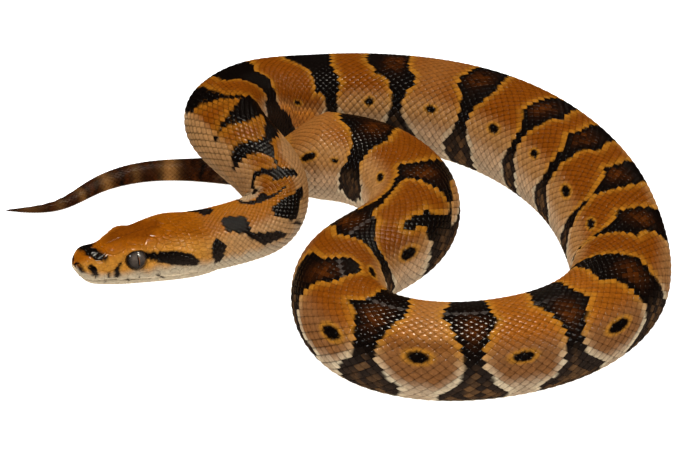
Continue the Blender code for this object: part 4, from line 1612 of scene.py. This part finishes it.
# %% Making the shields
BLUNT = 0.22                   # mm taken off at each corner
LONGEST = 0.7                  # mm between points of an edge
RIM_UNDER = 0.06               # what stands lower than this
RIM_SHADE = 0.82               # is darker
points, faces, colours, places = [], [], [], []
total = 0
for i, (u, share, _, kind) in enumerate(seeds):
    if kind in ("eye", "hole") or u > float(over_skin(FILL_END)):
        continue
    border = outline(i)
    if border is None:
        continue
    border = soften(border, BLUNT * seed_scale_at[i], LONGEST * seed_scale_at[i])
    if len(border) < 5:
        continue
    middle = border.mean(axis=0)
    rings = [middle + (border - middle) * width for width, _ in SHIELD_RINGS]
    us, shares = from_map(np.concatenate(rings + [middle[None]]))
    heights = np.array([h for _, h in SHIELD_RINGS for _ in border] + [SHIELD_TOP])
    shade = np.where(heights < RIM_UNDER, RIM_SHADE, 1.0)
    grain = np.full(len(us), chance.random())
    faces += shield_faces(total, len(border), len(SHIELD_RINGS))
    points.append(on_skin(us, shares, heights))
    colours.append(marking_at(us, shares, grain) * shade[:, None])
    places.append(unwrap(us, (shares - share + 0.5) % 1 - 0.5 + share, np.zeros(len(us))))
    total += len(us)
head_shields = joined_mesh("head_shields", np.concatenate(points), faces, np.concatenate(colours),
                           np.concatenate(places))
head_shields.data.materials.append(shield_finish)
turn_outwards(head_shields)
print("shields:", len(points), "faces:", len(faces))

# %% [markdown]
# ## The eyes
# A snake has no lids: a clear scale, the spectacle, covers the eye, so it always shines. The iris is
# dark grey with a narrow upright pupil. Glass eyes for casts are painted from behind. Here the ball is a
# sphere drawn out a little along its look, with so many points that iris and pupil are painted on them.

# %% Eye finish
eye_material, eye_tree, eye_shader = new_finish("clear_spectacle_over_grey_iris", {
    "Roughness": 0.12, "IOR": 1.38, "Coat Weight": 1.0, "Coat Roughness": 0.03})
iris_paint = add_node(eye_tree, "ShaderNodeAttribute", attribute_name="marking")
eye_tree.links.new(iris_paint.outputs["Color"], eye_shader.inputs["Base Color"])
print("eye finish:", eye_material.name)

# %% Iris and pupil
IRIS = colour("524840")
IRIS_EDGE = colour("0E0C0A")
PUPIL = colour("050404")
PUPIL_RIM = colour("A8602C")
PUPIL_TALL = 1.35              # half its height, in mm
STREAKS = 0.22


def eye_tones(x, y):
    """Colours for places across the iris, x to the right and y up, in mm."""
    turn = np.arctan2(y, x)
    tone = blend(IRIS + 0 * x[:, None], IRIS_EDGE, ramp(np.hypot(x, y), 1.0, 2.1))
    streaks = 1 + STREAKS * np.sin(9 * turn) * np.sin(14 * turn + 1)
    # painted reflection: the iris grows lighter towards its top
    tone = tone * (streaks * (0.55 + 0.85 * ramp(y, -1.4, 1.6)))[:, None]
    half_slit = 0.05 + 0.07 * np.sqrt(np.maximum(1 - (y / PUPIL_TALL)**2, 0))
    rim = (x > 0) & (x < half_slit + 0.1)
    tone = blend(tone, PUPIL_RIM, rim * ramp(1.0 - np.abs(y), 0, 0.4) * 0.7)
    return blend(tone, PUPIL, (np.abs(x) < half_slit) * ramp(PUPIL_TALL - np.abs(y), 0, 0.15))


print("colour of the pupil:", eye_tones(np.zeros(1), np.zeros(1)).round(3))

# %% Eye balls
DRAWN_OUT = 1.03               # length over width
for name, (place, look) in eyes.items():
    deselect()
    bpy.ops.mesh.primitive_uv_sphere_add(segments=160, ring_count=128, radius=EYE_RADIUS * MM)
    ball = bpy.context.object
    ball.name = name + "_ball"
    bpy.ops.object.mode_set(mode="EDIT")
    bpy.ops.mesh.select_all(action="SELECT")
    bpy.ops.transform.resize(value=(1, 1, DRAWN_OUT))
    bpy.ops.object.mode_set(mode="OBJECT")
    co = np.array([v.co for v in ball.data.vertices]) / MM
    right = np.cross((0, 0, 1), look)
    right /= np.linalg.norm(right)
    over = np.cross(look, right)
    placed = place + co[:, :1] * right + co[:, 1:2] * over + co[:, 2:3] * look
    ball.data.vertices.foreach_set("co", (placed * MM).astype(np.float32).ravel())
    add_colours(ball.data, eye_tones(co[:, 0], co[:, 1]))
    ball.data.materials.append(eye_material)
    ball.data.shade_smooth()
    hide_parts(name)
    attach(ball, "root")
    print(ball.name, len(ball.data.polygons), "faces")

# %% [markdown]
# ## Floor and room
# The animal lies on a white table that glows a little, which keeps its shadow soft, in a pale room. A
# bent paper backdrop would do as well. Neither shows in the gloss of the scales, as it would grey them.

# %% Floor and room
FLOOR_TONE = 0.55
FLOOR_GLOW = 1.05
ROOM_GLOW = 0.2
WHITE = (1, 1, 1, 1)
deselect()
bpy.ops.mesh.primitive_plane_add(size=6)
floor = bpy.context.object
floor.name = "floor"
floor_finish, _, _ = new_finish("white_light_table", {
    "Base Color": (FLOOR_TONE, FLOOR_TONE, FLOOR_TONE, 1), "Roughness": 0.9,
    "Emission Color": WHITE, "Emission Strength": FLOOR_GLOW})
floor.data.materials.append(floor_finish)
floor.visible_glossy = False

world = bpy.data.worlds.new("pale_studio")
world.use_nodes = True
world.node_tree.nodes["Background"].inputs["Color"].default_value = WHITE
world.node_tree.nodes["Background"].inputs["Strength"].default_value = ROOM_GLOW
bpy.context.scene.world = world
world.cycles_visibility.glossy = False
print("floor:", floor.name, "room:", world.name)

# %% [markdown]
# ## Light
# A wide, filtered sun from above lights the colours and leaves no haze on them. Small lamps, most of
# them hooded, act on the gloss alone and give the small sharp lights on the scales. One large soft lamp
# would be simpler, but it would lay a grey sheen over the black.

# %% Lamps
def soft_light(name, place, aim, size, power, spread=180):
    """A disk of light; a narrow spread keeps its brightness, as a hood over a lamp does."""
    data = bpy.data.lights.new(name, "AREA")
    data.shape = "DISK"
    data.size = size
    half = math.radians(spread) / 2
    data.energy = power if spread >= 180 else power * (math.tan(half) - half) / math.tan(half)
    data.spread = 2 * half
    lamp = bpy.data.objects.new(name, data)
    direction = np.array(place, float) - np.array(aim, float)
    yaw = math.atan2(direction[1], direction[0]) + math.pi / 2
    tilt = math.atan2(math.hypot(direction[0], direction[1]), direction[2])
    lamp.location = place
    lamp.rotation_euler = (tilt, 0, yaw)
    bpy.context.collection.objects.link(lamp)
    return lamp


SUN_POWER = 3.3
SUN_WIDE = math.radians(50)
SUN_TILT = math.radians(-4)
sun_data = bpy.data.lights.new("filtered_window", "SUN")
sun_data.energy = SUN_POWER
sun_data.angle = SUN_WIDE
sun = bpy.data.objects.new("filtered_window", sun_data)
sun.visible_glossy = False
sun.rotation_euler = (SUN_TILT, SUN_TILT, 0)
bpy.context.collection.objects.link(sun)
LAMP_TONE = (1.0, 0.92, 0.78)
# name, place, aim, size, power, spread in degrees; with 180 a lamp has no hood
GLOSS_LAMPS = [
    ("front_lamp", (0.054, 0.036, 0.50), (0.03, -0.044, 0.015), 0.14, 5.0, 20),
    ("neck_lamp", (0.22, -0.02, 0.42), (-0.022, -0.004, 0.012), 0.07, 1.0, 14),
    ("temple_lamp", (0.25, -0.15, 0.38), (-0.040, -0.013, 0.008), 0.12, 14.0, 5),
    ("head_lamp", (-0.03, 0.06, 0.50), (-0.048, -0.017, 0.01), 0.08, 2.0, 10),
    ("top_lamp", (-0.03, 0.06, 0.50), (0, 0, 0), 0.10, 0.2, 180),
]
for name, place, aim, size, power, spread in GLOSS_LAMPS:
    lamp = soft_light(name, place, aim, size, power, spread)
    lamp.data.color = LAMP_TONE
    lamp.visible_diffuse = False
# Two weak lamps at the sides act on colour and gloss.
soft_light("left_lamp", (-0.45, -0.35, 0.45), (0, 0, 0), 0.05, 0.5)
soft_light("right_lamp", (0.50, -0.25, 0.40), (0, 0, 0), 0.05, 0.3)
print("lamps:", [data.name for data in bpy.data.lights])

# %% [markdown]
# ## Camera
# The camera looks down on the coil from the front, as a visitor would, through a long lens that keeps
# the sizes of its near and far side alike. Flat colours need no film look, so the plain view is used.

# %% Camera
LENS = 151.2
SENSOR = 36
CAMERA_AIM = (0.004, 0.005, 0.0)
CAMERA_RISE = math.radians(35)
CAMERA_AWAY = 0.6
camera_data = bpy.data.cameras.new("camera")
camera_data.lens = LENS
camera_data.sensor_width = SENSOR
camera = bpy.data.objects.new("camera", camera_data)
camera.location = (CAMERA_AIM[0], CAMERA_AIM[1] - CAMERA_AWAY * math.cos(CAMERA_RISE),
                   CAMERA_AIM[2] + CAMERA_AWAY * math.sin(CAMERA_RISE))
camera.rotation_euler = (math.pi / 2 - CAMERA_RISE, 0, 0)
bpy.context.collection.objects.link(camera)
bpy.context.scene.camera = camera
bpy.context.scene.view_settings.view_transform = "Standard"
print("camera at", [round(v, 3) for v in camera.location])

# %% [markdown]
# ## Sizes
# The two corners of a box are turned into plain numbers. The dressed model has to stay
# in the box of the solids.

# %% Both boxes
def plain(box):
    """Both corners of a box as lists of plain numbers."""
    return [[float(v) for v in corner] for corner in box]
